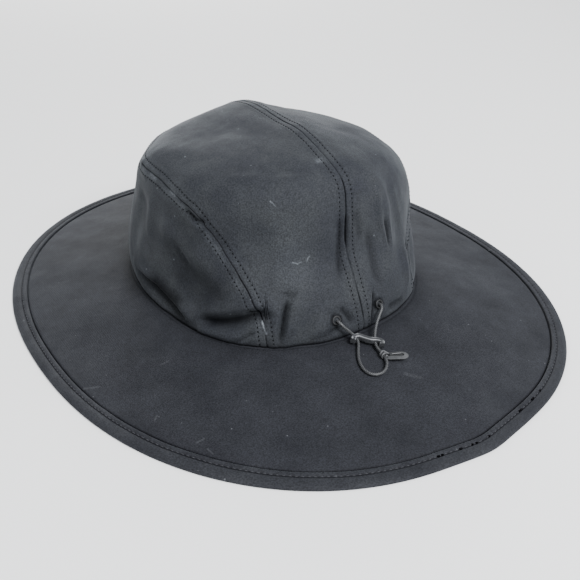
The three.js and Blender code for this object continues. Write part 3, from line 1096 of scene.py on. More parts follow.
@dataclass(frozen=True)
class Fold:
    """A fold in the crown's cloth. Its path is turns in degrees and heights in millimetres.

    Its last number is how much painted shade darkens its bottom, from 0 to 1.
    """

    kind: FoldKind
    path: tuple[tuple[float, float], ...]
    width: float
    depth: float
    painted_shade: float = 0.0

    def line(self, crown: CrownForm) -> Array:
        """The fold's line on the crown.

        Args:
            crown: The crown's form.

        Returns:
            Places about 3 mm apart.
        """
        steps = spaced_line(np.array(self.path), 1.5)
        places = []
        for turn_degrees, height in steps:
            turn = math.radians(turn_degrees)
            climb = crown.climb_at(turn, height * MM)
            places.append(crown.points(np.array([turn]), np.array([climb]))[0])
        return spaced_line(np.array(places), 3 * MM)

    def push(self, points: Array, normals: Array, line: Array) -> tuple[Array, Array]:
        """How far the fold moves each point out, below zero for inwards, and how much painted shade it lays
        on it.

        Args:
            points: Places on the cloth.
            normals: Directions out of it.
            line: The fold's line.

        Returns:
            Distances in metres, and shares of painted shade.
        """
        width, depth = self.width * MM, self.depth * MM
        away = np.full(len(points), np.inf)
        share = np.zeros(len(points))
        side = np.zeros(len(points))
        count = len(line) - 1
        for index, (a, b) in enumerate(zip(line, line[1:])):
            span = b - a
            at = np.clip((points - a) @ span / (span @ span), 0, 1)
            gap = points - a - at[:, None] * span
            far = np.linalg.norm(gap, axis=1)
            near = far < away
            away[near] = far[near]
            share[near] = (index + at[near]) / count
            over = np.cross(span / np.linalg.norm(span), normals[near])
            side[near] = np.sign((gap[near] * over).sum(1))
        x = away / width * side
        ends = np.clip(np.minimum(share, 1 - share) * 4, 0, 1)
        taper = ends * ends * (3 - 2 * ends) * 0.85 + 0.15
        if self.kind is FoldKind.VALLEY:
            form = -np.exp(-x * x)
        elif self.kind is FoldKind.RIDGE:
            form = np.exp(-x * x)
        elif self.kind is FoldKind.CREASE:
            form = -np.exp(-np.abs(x) ** 1.25) + 0.35 * np.exp(-((np.abs(x) - 2.2) / 0.9) ** 2)
        else:
            form = -np.exp(-(np.minimum(x, 0) ** 2) - (np.maximum(x, 0) * 1.8) ** 2)
            form += 0.7 * np.exp(-((x - 1.6) / 0.9) ** 2)
        # Painted shade: the fold's bottom is darkened in the shade mark.
        return form * depth * taper, np.clip(-form, 0, 1) ** 2 * taper * self.painted_shade


VALLEY, RIDGE, CREASE, LEDGE = FoldKind
# The last number of a fold, where it is given, is how much painted shade darkens its bottom.
FOLDS = (
    Fold(LEDGE, ((35.4, 30), (38.3, 34), (42.4, 32.4), (47.9, 28.5), (53.5, 25.4), (60, 22.6), (66, 19.8)),
         4.2, 3.8, 0.7),
    Fold(CREASE, ((35, 31.5), (37.7, 35.4), (42, 34.6), (46, 32.8)), 1.3, 1.5, 0.8),
    Fold(LEDGE, ((66, 16), (72.5, 18.4), (78, 20.6), (84, 23), (91.2, 25.2), (98, 26), (108, 26)),
         3.4, 3.2, 0.7),
    Fold(RIDGE, ((84, 35), (74, 30.5), (66, 27)), 6, 1.6),
    Fold(RIDGE, ((66, 17.5), (54, 17.5), (42, 18)), 3.4, 1.5),
    Fold(VALLEY, ((88, 60), (79, 53), (70, 45), (60, 40), (50, 38)), 11, 3.6, 0.3),
    Fold(CREASE, ((81, 60), (77, 54), (72, 50)), 2.0, 0.8, 0.15),
    Fold(VALLEY, ((97, 31.5), (88, 29.5), (79, 27), (71, 23.5)), 6.5, 1.2, 0.72),
    Fold(VALLEY, ((84, 42), (74, 37), (64, 33), (56, 31)), 9, 0.8, 0.28),
    Fold(VALLEY, ((65, 22), (56.5, 24.5), (49, 27.5), (43.5, 31.5)), 4.4, 1.4, 0.75),
    Fold(RIDGE, ((94, 70), (84, 66), (72, 60), (60, 54)), 8, 1.8),
    Fold(VALLEY, ((80, 78), (74, 68), (68, 60)), 8, 1.5, 0.1),
    Fold(CREASE, ((29.5, 42), (31.1, 32.7), (32.1, 23.2), (33, 15.5)), 1.5, 3.0, 0.85),
    Fold(VALLEY, ((31, 46), (28.5, 42), (26, 45)), 2.4, 1.2, 0.3),
    Fold(RIDGE, ((26, 44), (27.4, 32), (28.8, 20)), 3.0, 1.5),
    Fold(RIDGE, ((34.4, 40), (34.8, 30), (35.2, 20)), 2.0, 0.9),
    Fold(CREASE, ((41, 23.5), (45, 19), (49, 15.5)), 1.2, 1.1, 0.4),
    Fold(VALLEY, ((45, 104), (30, 107), (14, 108)), 7, 1.3),
    Fold(RIDGE, ((60, 104), (43, 105.5), (25.6, 105.5), (8, 104.5)), 3, 0.6),
    Fold(VALLEY, ((50, 78), (40, 72), (32, 60)), 9, 1.3),
    Fold(CREASE, ((0.1, 83), (0.1, 74), (0.1, 60)), 0.9, 0.9, 0.9),
    Fold(VALLEY, ((3.0, 83), (3.2, 70), (4.6, 56), (6.6, 44)), 3.3, 1.0, 0.5),
    Fold(VALLEY, ((-4.4, 84), (-6.4, 72), (-7.4, 62)), 3.4, 0.8, 0.3),
    Fold(CREASE, ((-7.4, 35.5), (-5.4, 24.8), (-3.6, 15.5)), 1.1, 1.9, 0.95),
    Fold(RIDGE, ((-3.4, 32), (-2.0, 20)), 1.3, 0.5),
    Fold(VALLEY, ((9.6, 33), (7, 27.5), (4.6, 21)), 2.6, 1.4, 0.6),
    Fold(CREASE, ((7.6, 20.5), (11, 21.4), (15.5, 20.4)), 1.7, 1.1, 0.95),
    Fold(VALLEY, ((12, 19), (17, 18), (24, 16.5)), 2.6, 1.4, 0.25),
    Fold(CREASE, ((-8.8, 23), (-9.8, 19.4), (-9.6, 15.5)), 1.4, 0.9, 0.6),
    Fold(VALLEY, ((-12, 20), (-17, 21), (-24, 19)), 3.0, 1.7, 0.5),
    Fold(CREASE, ((-20.8, 73), (-22.2, 66), (-23.1, 58.1), (-22.6, 52)), 1.3, 1.6, 0.75),
    Fold(RIDGE, ((-19.4, 92), (-18, 81), (-18.8, 71.7), (-19.6, 62)), 2.4, 1.1),
    Fold(VALLEY, ((-11.4, 70), (-12.7, 57), (-11.4, 45), (-11.5, 33)), 4.2, 1.5, 0.35),
    Fold(VALLEY, ((-27, 92), (-28.5, 74), (-30, 58)), 5, 1.3, 0.1),
    Fold(RIDGE, ((-32, 88), (-34.7, 75), (-37.6, 57)), 3.2, 1.1),
    Fold(RIDGE, ((-33.5, 48), (-30.5, 35), (-27.5, 23)), 2.8, 1.7),
    Fold(CREASE, ((-38, 48), (-36, 33), (-33.5, 21)), 2.0, 2.0, 0.6),
    Fold(CREASE, ((75, 85), (70.6, 81.4), (67.3, 79.7), (63, 82)), 1.8, 1.7, 0.6),
    Fold(VALLEY, ((63, 78), (58, 71), (54, 66)), 4, 1.1),
    Fold(RIDGE, ((116, 96), (110, 92), (103, 90)), 3.5, 1.2),
    Fold(VALLEY, ((106, 84), (110, 62), (114, 40)), 8, 1.6),
    Fold(RIDGE, ((98, 84), (99, 68), (100, 52)), 5, 1.2),
    Fold(CREASE, ((9, 31), (13, 29.5), (16, 31)), 1.6, 0.9, 0.2),
    Fold(VALLEY, ((-60, 40), (-64, 28), (-70, 20)), 4, 1.6, 0.1),
    Fold(CREASE, ((-84, 52), (-94, 44), (-104, 42)), 3, 1.8, 0.3),
    Fold(VALLEY, ((150, 60), (165, 50), (180, 48)), 6, 1.8, 0.1),
    Fold(CREASE, ((135, 38), (148, 32), (160, 30)), 2.6, 1.6, 0.3),
    Fold(RIDGE, ((190, 76), (206, 70), (220, 72)), 6, 1.4),
    Fold(CREASE, ((228, 40), (240, 34), (250, 32)), 2.6, 1.7, 0.3),
)


@dataclass(frozen=True)
class Scuff:
    """A pale rubbed mark on the crown: turns in degrees, heights and sizes in millimetres."""

    path: tuple[tuple[float, float], ...]
    width: float
    strength: float


SCUFFS = (
    Scuff(((40, 66), (30, 72), (26, 52), (36, 48)), 12, 0.05),
    Scuff(((86, 91), (80, 90)), 1.6, 0.3),
    Scuff(((104, 93), (96, 92)), 1.4, 0.25),
    Scuff(((9, 108.6), (2.5, 109)), 1.6, 0.3),
)


@dataclass
class SeamRelief:
    """How sewn cloth is shaped beside a seam."""

    groove_width: float = 0.45 * MM
    groove_depth: float = 0.5 * MM
    fell_width: float = 6.0 * MM
    fell_height: float = 0.35 * MM
    stitch_away: float = 4.1 * MM
    dimple: float = 0.22 * MM
    dimple_width: float = 0.6 * MM
    fell_edge: float = 0.45 * MM

    def push(self, away: Array, felled: float) -> Array:
        """How far the cloth moves out at distances from the seam.

        Args:
            away: Distances in metres.
            felled: 1 where the seam's allowance lies under this side, less where it doesn't.

        Returns:
            Distances in metres.
        """
        groove = -self.groove_depth * bell(away, 0, self.groove_width)
        fell = felled * self.fell_height / (1 + np.exp((away - self.fell_width) / self.fell_edge))
        dimple = -self.dimple * bell(away, self.stitch_away, self.dimple_width)
        return groove + fell + dimple


def fine_ends(count: int, near: Sequence[float], first: bool, last: bool, lean: float = 1.0) -> Array:
    """Shares from 0 to 1 that crowd together toward one end or both.

    Args:
        count: How many steps lie between.
        near: Shares of the close steps, rising from 0.
        first: Whether they crowd at the start.
        last: Whether they crowd at the end.
        lean: 1 for even steps between, more where they are finer toward the start.

    Returns:
        The rising shares.
    """
    close = np.array(near)
    start = close if first else np.array([0.0])
    end = (1 - close)[::-1] if last else np.array([1.0])
    middle = start[-1] + (end[0] - start[-1]) * np.linspace(0, 1, count + 2)[1:-1] ** lean
    return np.concatenate([start, middle, end])


FOOT_TO_TOP = 0.19
NEAR_SIDE_SEAM = (0, 0.003, 0.006, 0.010, 0.015, 0.021, 0.028, 0.036)
NEAR_CENTRE_SEAM = (0, 0.0012, 0.0026, 0.0045, 0.0068, 0.0095, 0.013, 0.017, 0.022)


@dataclass
class Crown:
    """The crown's three panels of soft rain cloth, folded, seamed and topstitched."""

    form: CrownForm
    wall: float = 1.2 * MM
    side_rows: int = 92
    side_columns: int = 430
    top_rows: int = 118
    top_columns: int = 270
    crumple: float = 1.0 * MM
    creep: float = 0.13 * MM
    foot_tuck: float = 0.7 * MM
    foot_fade: float = 2.5 * MM
    eyelet_dip: float = 0.35 * MM
    eyelet_reach: float = 3.1 * MM
    pucker_reach: float = 5 * MM
    rub_away: float = 3.2 * MM
    rub_width: float = 1.6 * MM
    seam_samples: int = 241
    seam_step: float = 0.3 * MM

    def __post_init__(self) -> None:
        """Finds the seams and lays out the folds."""
        form = self.form
        self.starts = {hand: form.seam_start(hand) for hand in (1, -1)}
        turns = np.linspace(self.starts[1], FULL_TURN + self.starts[-1], self.seam_samples)[1:-1]
        climbs = form.seam_climbs(turns)
        kernel = np.array([1, 2, 3, 2, 1]) / 9
        eased = np.convolve(np.pad(climbs, 2, mode="edge"), kernel, mode="valid")
        self.seam_turns = np.concatenate([[self.starts[1]], turns, [FULL_TURN + self.starts[-1]]])
        self.seam_heights = np.concatenate([[0.0], eased, [0.0]])
        self.side_seam = spaced_line(form.points(self.seam_turns, self.seam_heights), self.seam_step)
        up_back = np.linspace(0, 1, 200)
        front_low = float(np.interp(math.pi, self.seam_turns, self.seam_heights))
        down_front = np.linspace(1, front_low, 120)[1:]
        centre = [form.points(np.zeros_like(up_back), up_back),
                  form.points(np.full_like(down_front, math.pi), down_front)]
        self.centre_seam = spaced_line(np.concatenate(centre), self.seam_step)
        self.fold_lines = [fold.line(form) for fold in FOLDS]
        self.scuff_lines = [Fold(VALLEY, s.path, s.width, 0).line(form) for s in SCUFFS]
        self.relief = SeamRelief()
        rings = [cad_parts[name].data.vertices for name in ("eyelet_left", "eyelet_right")]
        self.eyelets = [np.array([v.co for v in ring]).mean(0) for ring in rings]

    def seam_climb(self, turn: Array) -> Array:
        """The side seam's climb at turns, or 0 where the top's panels reach the foot."""
        wrapped = np.mod(turn, FULL_TURN)
        return np.interp(wrapped, self.seam_turns, self.seam_heights, left=0.0, right=0.0)

    @staticmethod
    def _distances(points: Array, line: Array) -> Array:
        """Distances from points to the nearest of a line's points."""
        tree = KDTree(len(line))
        for index, place in enumerate(line.tolist()):
            tree.insert(place, index)
        tree.balance()
        return np.array([tree.find(p)[2] for p in points.tolist()])

    def draped(self, turn: Array, climb: Array, felled_side: float,
               felled_centre: float) -> tuple[Array, Array, Array, Array]:
        """The cloth's outer face with its folds and seams.

        Args:
            turn: Turns of a grid of places.
            climb: Their climbs.
            felled_side: How much of the side seam's allowance lies under this panel.
            felled_centre: How much of the centre seam's allowance does.

        Returns:
            Places, directions out, the scuff marks and the painted shade marks.
        """
        base = self.form.points(turn, climb)
        out = self.form.normals(turn, climb)
        flat, flat_out = base.reshape(-1, 3), out.reshape(-1, 3)
        push = np.zeros(len(flat))
        shade = np.zeros(len(flat))
        # Each fold's bottom adds painted shade to the shade mark.
        for fold, line in zip(FOLDS, self.fold_lines):
            reach = (fold.width * 4 + 3) * MM
            near = ((flat > line.min(0) - reach) & (flat < line.max(0) + reach)).all(1)
            if near.any():
                moved, fold_shade = fold.push(flat[near], flat_out[near], line)
                push[near] += moved
                shade[near] = np.maximum(shade[near], fold_shade)
        side_away = self._distances(flat, self.side_seam)
        centre_away = self._distances(flat, self.centre_seam)
        push += self.relief.push(side_away, felled_side) + self.relief.push(centre_away, felled_centre)
        nearest = np.minimum(side_away, centre_away)
        pucker = bell(nearest, 0, self.pucker_reach)
        push += surface_noise(flat, 5.5 * MM, 1, 3.1) * self.creep * pucker * 1.6
        push += surface_noise(flat, 30 * MM, 2, 7.7) * self.crumple
        push += surface_noise(flat, 9 * MM, 2, 1.3) * self.creep
        push -= bell(flat[:, 2], self.form.foot, self.foot_fade) * self.foot_tuck
        rubbed = bell(side_away, self.rub_away, self.rub_width) * (1.0 if felled_side < 0.5 else 0.5)
        scuff = rubbed * np.clip(surface_noise(flat, 12 * MM, 2, 8.8) + 0.35, 0, 1) * 0.16
        for mark, line in zip(SCUFFS, self.scuff_lines):
            fold = Fold(RIDGE, mark.path, mark.width, 1.0)
            scuff = np.maximum(scuff, fold.push(flat, flat_out, line)[0] / MM * mark.strength)
        # Painted shadow: a ring of shade on the cloth round each eyelet, over a real dip.
        for eyelet in self.eyelets:
            ring = bell(np.linalg.norm(flat - eyelet, axis=1), self.eyelet_reach, 1.2 * MM)
            push -= ring * self.eyelet_dip
            shade = np.maximum(shade, 0.7 * ring)
        # Painted shade: a line along each seam's groove, varied by noise, a faint band along the stitch
        # rows, and a near-black line at the crown's foot where it meets the brim.
        seam_shade_strength = np.clip(0.6 + 0.7 * surface_noise(flat, 16 * MM, 2, 5.2), 0.3, 1.0)
        shade += seam_shade_strength * bell(nearest, 0, 0.42 * MM)
        shade += 0.12 * bell(nearest, self.relief.stitch_away, 0.7 * MM)
        shade += 0.95 * bell(flat[:, 2], self.form.foot, 1.3 * MM)
        shade = np.clip(shade, 0, 1)
        places = flat + flat_out * push[:, None]
        return places.reshape(base.shape), out, scuff, shade

    def panel(self, name: str, node: str, turn: Array, climb: Array,
              felled: tuple[float, float]) -> Piece:
        """Makes one panel as a closed wall of cloth.

        Args:
            name: The piece's name.
            node: The frame's node that it stands for.
            turn: Turns of a grid of places.
            climb: Their climbs.
            felled: Shares of the side and the centre seam's allowance under it.

        Returns:
            The panel.
        """
        outer, out, scuff, shade = self.draped(turn, climb, *felled)
        inner = outer - out * self.wall
        inner[..., 2] = np.maximum(inner[..., 2], self.form.foot)
        points, faces = shell(outer, inner, False)
        radius = np.linalg.norm(self.form.points(turn, np.zeros_like(climb))[..., :2], axis=-1)
        uv = np.stack([turn * radius, climb * FOOT_TO_TOP], axis=-1).reshape(-1, 2)
        marks = {"scuff": np.concatenate([scuff, np.zeros_like(scuff)]),
                 "shade": np.concatenate([shade, shade])}
        piece = make_piece(name, points, faces, CROWN_CLOTH.name, np.concatenate([uv, uv]), marks)
        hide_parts(node)
        return piece

    def build(self) -> list[Piece]:
        """Builds the three panels.

        Returns:
            The panels.
        """
        made = []
        up = fine_ends(self.side_rows, NEAR_SIDE_SEAM, False, True)
        turns = self.starts[1] + (FULL_TURN + self.starts[-1] - self.starts[1]) * fine_ends(
            self.side_columns, [0], True, False, 1.2)
        grid_turn, grid_up = np.meshgrid(turns, up)
        made.append(self.panel("side_band_cloth", "crown_side_band", grid_turn,
                               grid_up * self.seam_climb(grid_turn), (0.2, 0.0)))
        around = fine_ends(self.top_columns, NEAR_CENTRE_SEAM, True, True, 1.4) * math.pi
        around = np.unique(np.append(around, abs(self.starts[1])))
        up = fine_ends(self.top_rows, NEAR_SIDE_SEAM, True, False, 1.15)
        for hand, side in ((1, "left"), (-1, "right")):
            grid_turn, grid_up = np.meshgrid(hand * around, up)
            low = self.seam_climb(grid_turn)
            made.append(self.panel(f"top_{side}_cloth", f"crown_top_{side}", grid_turn,
                                   low + (1 - low) * grid_up, (1.0, 0.6)))
        return made

    def stitch_lines(self) -> Lines:
        """Lines of the topstitching beside the seams, on the draped cloth.

        Returns:
            Each line's places and the directions out of the cloth there.
        """
        away = self.relief.stitch_away
        lines = []
        for seam in (self.side_seam, self.centre_seam):
            coarse = spaced_line(seam, 1.3 * MM)
            turn = np.arctan2(coarse[:, 0], coarse[:, 1])
            slant = np.arctan2(coarse[:, 2] - self.form.CENTRE[2], np.hypot(coarse[:, 0], coarse[:, 1]))
            low = self.form.low_field(turn, np.zeros_like(turn))
            climb = (slant - low) / (math.pi / 2 - low)
            out = self.form.normals(turn, climb)
            tangent = np.gradient(coarse, axis=0)
            across = np.cross(tangent, out)
            across /= np.linalg.norm(across, axis=1)[:, None]
            for side in (1, -1):
                lines.append((coarse + side * away * across, out))
        return lines


# Stitches

@dataclass
class Stitches:
    """Rows of machine stitches, each a short thread that dips into the cloth at its ends."""

    name: str
    length: float
    pitch: float
    thickness: float
    rise: float

    def build(self, rows: Lines, finish: str, slot: str) -> Piece:
        """Lays the stitches and joins them into one piece.

        Args:
            rows: For each row its line of places and the directions out of the cloth.
            finish: The thread's material name.
            slot: Not used.

        Returns:
            The joined stitches.
        """
        rings, corners = 5, 6
        share = np.linspace(-1, 1, rings)
        angle = np.arange(corners) / corners * FULL_TURN
        swell = np.sqrt(np.clip(1.02 - share ** 2, 0.02, 1))
        faces_one = grid_faces(rings, corners, 0, True)
        faces_one += [tuple(range(corners))[::-1], tuple(range((rings - 1) * corners, rings * corners))]
        points, faces = [], []
        for line, out in rows:
            along = lengths_along(line)
            for middle in np.arange(self.pitch, along[-1] - self.pitch / 2, self.pitch):
                ends = [self._at(along, line, middle + s * self.length / 2) for s in (-1, 1)]
                normal = self._at(along, out, middle)
                normal /= np.linalg.norm(normal)
                centre = self._at(along, line, middle)
                way = (ends[1] - ends[0]) / np.linalg.norm(ends[1] - ends[0])
                side = np.cross(way, normal)
                start = len(points) * rings * corners
                spine = centre + np.outer(share, way * self.length / 2)
                spine = spine + np.outer(self.rise * (1 - 1.6 * share ** 2), normal)
                ring = np.outer(np.cos(angle), side) + np.outer(np.sin(angle), normal)
                body = spine[:, None] + ring[None] * (swell * self.thickness / 2)[:, None, None]
                points.append(body.reshape(-1, 3))
                faces += [tuple(start + i for i in f) for f in faces_one]
        piece = make_piece(self.name, np.concatenate(points), faces, finish)
        return piece

    @staticmethod
    def _at(along: Array, values: Array, place: float) -> Array:
        """Reads values along a line at a distance from its start."""
        return np.array([np.interp(place, along, values[:, k]) for k in range(3)])


CROWN_STITCHES = Stitches("crown_topstitching", 1.3 * MM, 2.6 * MM, 0.7 * MM, 0.08 * MM)
BAND_STITCHES = Stitches("band_topstitching", 2.1 * MM, 3.1 * MM, 0.7 * MM, 0.12 * MM)
LAY_REACH = 6 * MM
# Painted shade: near-black beads sunk into the band where stitches have missed, standing for the shadow in
# the holes.
BAND_HOLES = Stitches("band_needle_hole_shade", 2.0 * MM, 2.2 * MM, 1.7 * MM, -0.35 * MM)


def laid_on(piece_names: Sequence[str], lines: Lines) -> Lines:
    """Moves lines onto the finished cloth.

    Args:
        piece_names: The pieces that they may lie on.
        lines: Places and directions out.

    Returns:
        The moved lines.
    """
    tree = ray_tree([bpy.data.objects[name] for name in piece_names])
    moved = []
    for line, out in lines:
        places = []
        for place, way in zip(line, out):
            hit = tree.ray_cast(Vector(place + way * LAY_REACH), Vector(-way), 2 * LAY_REACH)[0]
            places.append(place if hit is None else np.array(hit))
        moved.append((np.array(places), out))
    return moved


# The brim and its edge band

@dataclass
class Brim:
    """The brim's cloth between the crown and the edge band."""

    form: BrimForm
    columns: int = 540
    rows: int = 74
    tuck: float = 3 * MM
    wall: float = 1.2 * MM
    wave: float = 0.55 * MM
    hem_dip: float = 0.8 * MM
    hem_share: float = 0.008
    creep: float = 0.12 * MM

    def build(self) -> Piece:
        """Builds the brim as one closed wall.

        Returns:
            The brim.
        """
        form = self.form
        turns = np.arange(self.columns) / self.columns * FULL_TURN
        foot = form.foot(turns, np.zeros_like(turns))
        edge, inward = form.outline(turns)
        end = edge + inward * (form.band_widths(turns) + 0.05 * MM)[:, None]
        foot_plan = out_ways(turns) * foot[:, None]
        start = out_ways(turns) * (foot - self.tuck)[:, None]
        shares = np.concatenate([[0.0, 0.5], np.linspace(0, 1, self.rows)[1:-1], [0.992, 0.996, 1.0]])
        plan, heights = [], []
        for row, share in enumerate(shares):
            under_crown = row < 2
            if under_crown:
                plan.append(start + (foot_plan - start) * share * 2)
            else:
                plan.append(foot_plan * (1 - share) + end * share)
            heights.append(form.heights(turns, np.full_like(turns, 0.0 if under_crown else share)))
        top = np.concatenate([np.array(plan), np.array(heights)[..., None]], axis=-1)
        flat = top.reshape(-1, 3)
        slope_share = np.repeat(shares, self.columns)
        hem_line = bell(slope_share, 1, self.hem_share)
        free = np.clip(slope_share * 6, 0, 1) * np.clip((1 - slope_share) * 5, 0, 1)
        lift = surface_noise(flat, 55 * MM, 2, 5.5) * self.wave * free
        near_band = bell(slope_share, 1, 0.12) * np.clip((1 - slope_share) * 60, 0, 1)
        lift += surface_noise(flat * [1, 1, 0], 9 * MM, 1, 2.5) * self.creep * 2 * near_band
        lift += surface_noise(flat, 16 * MM, 3, 9.1) * self.creep * free
        lift -= hem_line * self.hem_dip
        flat[:, 2] += lift
        under = top - UP * self.wall
        points, faces = shell(top, under, True)
        # Painted shade: a near-black line in the groove at the band, a line where the crown stands on the
        # brim, and a broad faint darkening round the crown's foot.
        brim_painted_shade = hem_line * 0.95 + bell(slope_share, 0, 0.012) * 0.75 + bell(slope_share, 0, 0.1) * 0.2
        marks = {"shade": np.concatenate([brim_painted_shade, np.zeros_like(brim_painted_shade)]),
                 "scuff": np.zeros(len(points))}
        piece = make_piece("brim_cloth", points, faces, BRIM_CLOTH.name, points[:, :2], marks)
        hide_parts("brim")
        return piece


MISSED_STITCHES = (-17.3, -14.8, -14.4, -10.7, -10.2, -1.7, -0.8, 1.3, 2.0, 4.2, 7.5, 8.0)


BAND_SEAM = ((0.02, 0.3), (0.25, 0.8), (0.55, 0.98), (0.9, 1.05), (1.6, 1.07))
BAND_GROOVE = ((0.7, 1.02), (0.25, 0.92), (-0.05, 0.84), (-0.4, 0.9), (-1.0, 1.0))
BAND_FOLD = ((3.9, 1.04), (2.9, 1.0), (2.0, 0.93), (1.2, 0.82), (0.6, 0.68), (0.2, 0.52), (0.02, 0.38),
             (0.12, 0.2), (0.5, 0.06), (1.1, 0.0))


@dataclass
class EdgeBand:
    """The folded and stitched band round the brim's edge.

    Its inner strip is a raised seam with beads of thread, and a fuller fold of cloth lies outside it.
    """

    form: BrimForm
    columns: int = 900
    strip: float = 3.4 * MM

    def section(self) -> Array:
        """The band's section as distances in from the edge and heights.

        Returns:
            The section's points, from its inner groove over the top to its underside.
        """
        width, top = self.form.band_width, self.form.band_top
        points = [(width - back * MM, share * top) for back, share in BAND_SEAM]
        points += [(width - self.strip + out * MM, share * top) for out, share in BAND_GROOVE]
        points += [(inward * MM, share * top) for inward, share in BAND_FOLD]
        points += [(width * 0.5, 0.0), (width - 0.4 * MM, 0.0), (width - 0.06 * MM, 0.15 * top)]
        return np.array(points)

    def build(self) -> Piece:
        """Builds the band.

        Returns:
            The band.
        """
        turns = np.arange(self.columns) / self.columns * FULL_TURN
        edge, inward = self.form.outline(turns)
        section = self.section()
        rows = []
        stretch = self.form.band_widths(turns) / self.form.band_width
        for distance, height in section:
            plan = edge + inward * (distance * stretch)[:, None]
            rows.append(np.concatenate([plan, np.full((len(turns), 1), height)], axis=1))
        grid = np.array(rows)
        flat = grid.reshape(-1, 3)
        distance = np.repeat(section[:, 0], self.columns)
        height = np.repeat(section[:, 1], self.columns)
        loose = np.clip(height / self.form.band_top * 1.4 - 0.4, 0, 1)
        flat[:, 2] += surface_noise(flat, 14 * MM, 2, 4.4) * 0.16 * MM * loose
        flat[:, 2] += surface_noise(flat, 4 * MM, 1, 6.4) * 0.06 * MM * loose
        faces = grid_faces(len(section), self.columns, 0, True)
        start = (len(section) - 1) * self.columns
        for column in range(self.columns):
            beside = (column + 1) % self.columns
            faces.append((start + column, start + beside, beside, column))
        width = self.form.band_width
        # Painted shade: the band's two groove lines are darkened in the shade mark.
        band_groove_shade = bell(distance, width, 0.3 * MM) + 0.8 * bell(distance, width - self.strip, 0.4 * MM)
        marks = {"shade": np.clip(band_groove_shade, 0, 1) * 0.85 * (height > 0.3 * self.form.band_top),
                 "scuff": np.zeros(len(flat))}
        piece = make_piece("edge_band_cloth", flat, faces, BAND_CLOTH.name, flat[:, :2], marks)
        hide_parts("brim_edge_band")
        return piece

    def stitch_line(self) -> tuple[Array, Array]:
        """The line of the strip's stitching.

        Returns:
            Places and directions out of the cloth.
        """
        turns = np.linspace(0, FULL_TURN, 1200)
        edge, inward = self.form.outline(turns)
        stretch = self.form.band_widths(turns) / self.form.band_width
        plan = edge + inward * ((self.form.band_width - self.strip + 0.3 * MM) * stretch)[:, None]
        line = np.concatenate([plan, np.full((len(turns), 1), self.form.band_top)], axis=1)
        return line, np.tile(UP, (len(turns), 1))

    def holes(self) -> Lines:
        """Short lines where the stitching has missed, one to a hole.

        Returns:
            Places and directions out of the cloth.
        """
        line, out = self.stitch_line()
        step = 360 / (len(line) - 1)
        starts = [int(round((turn % 360) / step)) for turn in MISSED_STITCHES]
        return [(line[start:start + 5], out[start:start + 5]) for start in starts]


# The drawcord and what is on it

CORD_ROUTE_MM = (
    (18.1, 86.4, 25.1), (18.55, 89.2, 25.9), (18.7, 92, 26.3), (17.8, 94.7, 24.8), (15.2, 96.3, 21.6),
    (12.4, 97.2, 18.5), (10.9, 99, 16.5), (11.3, 101.6, 15.3), (12.9, 104.3, 14.4), (15.2, 107, 13.6),
    (17.4, 109.8, 13), (19.5, 113, 12.4), (21.2, 116.8, 11.9), (22, 120.8, 11.3), (21.4, 124.6, 10.9),
    (19, 127.2, 10.7), (15.6, 128, 10.7), (12.2, 127.1, 10.8), (9.1, 125, 11.4), (6.9, 122.1, 12.1),
    (5.7, 118.8, 12.8), (5.3, 115.6, 13.3), (5.1, 112.8, 13.8), (4.5, 110, 14.5), (3.1, 107.4, 15.5),
    (1.3, 104.8, 16.7), (-1.6, 101.7, 18.5), (-5.2, 98.7, 20.7), (-9.1, 96.2, 23.2), (-11.9, 94.6, 25.4),
    (-13.2, 92.2, 26.4), (-13.05, 89.6, 25.9), (-12.7, 86.7, 25.1),
)
LOCK_LINE_MM = ((14.6, 101.2), (12.2, 99.3), (9.4, 99.7), (7.4, 102.7), (5.2, 105.8), (2.2, 107.9),
                (0.9, 110.4), (2.6, 112.8))


@dataclass
class Drawcord:
    """The elastic drawcord that the lock, hitch and tab sit on."""

    diameter: float = 1.8 * MM
    per_span: int = 14
    corners: int = 18

    def line(self) -> Array:
        """The cord's centre line, in metres."""
        return curve_through(np.array(CORD_ROUTE_MM) * MM, self.per_span)

    def build_cord(self) -> Piece:
        """Builds the cord as a tube with a faint braid.

        Returns:
            The cord.
        """
        line = spaced_line(self.line(), 0.3 * MM)
        points, faces, uv = tube(line, np.full(len(line), self.diameter / 2), self.corners)
        piece = make_piece("elastic_drawcord", points, faces, CORD_BRAID.name, uv)
        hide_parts("drawcord")
        return piece

    def place_at(self, share: float) -> tuple[Array, Array]:
        """A place on the cord and the direction it runs in there.

        Args:
            share: How far along it lies, from 0 to 1.

        Returns:
            The place and a unit vector.
        """
        line = spaced_line(self.line(), 0.1 * MM)
        index = min(int(share * (len(line) - 1)), len(line) - 3)
        way = line[index + 2] - line[index]
        return line[index], way / np.linalg.norm(way)


# Hard parts, modelled step by step

def select_faces(piece: Piece, test: FaceTest) -> None:
    """Goes into edit mode with the faces selected that pass a test.

    Args:
        piece: The piece, which becomes the active one.
        test: Takes a face's middle and its normal.
    """
    switch_mode(OBJECT)
    make_active(piece)
    switch_mode(EDIT)
    bpy.ops.mesh.select_mode(type="FACE")
    bpy.ops.mesh.select_all(action="DESELECT")
    switch_mode(OBJECT)
    for face in piece.data.polygons:
        face.select = test(face.center, face.normal)
    switch_mode(EDIT)


def round_rim(reach: float, steps: int) -> None:
    """Rounds the edges round the selected faces."""
    bpy.ops.mesh.select_mode(type="EDGE")
    bpy.ops.mesh.region_to_loop()
    bpy.ops.mesh.bevel(offset=reach, segments=steps, affect="EDGES")


def tone_faces(piece: Piece, finishes: Sequence[str], test: FaceTest) -> None:
    """Gives a piece two finishes, the second on the faces that pass a test.

    Args:
        piece: The piece, with its faces still about its own axes.
        finishes: The names of the two materials.
        test: Takes a face's middle and its normal.
    """
    switch_mode(OBJECT)
    piece.data.materials.clear()
    for finish in finishes:
        piece.data.materials.append(bpy.data.materials[finish])
    for face in piece.data.polygons:
        face.material_index = int(test(face.center, face.normal))


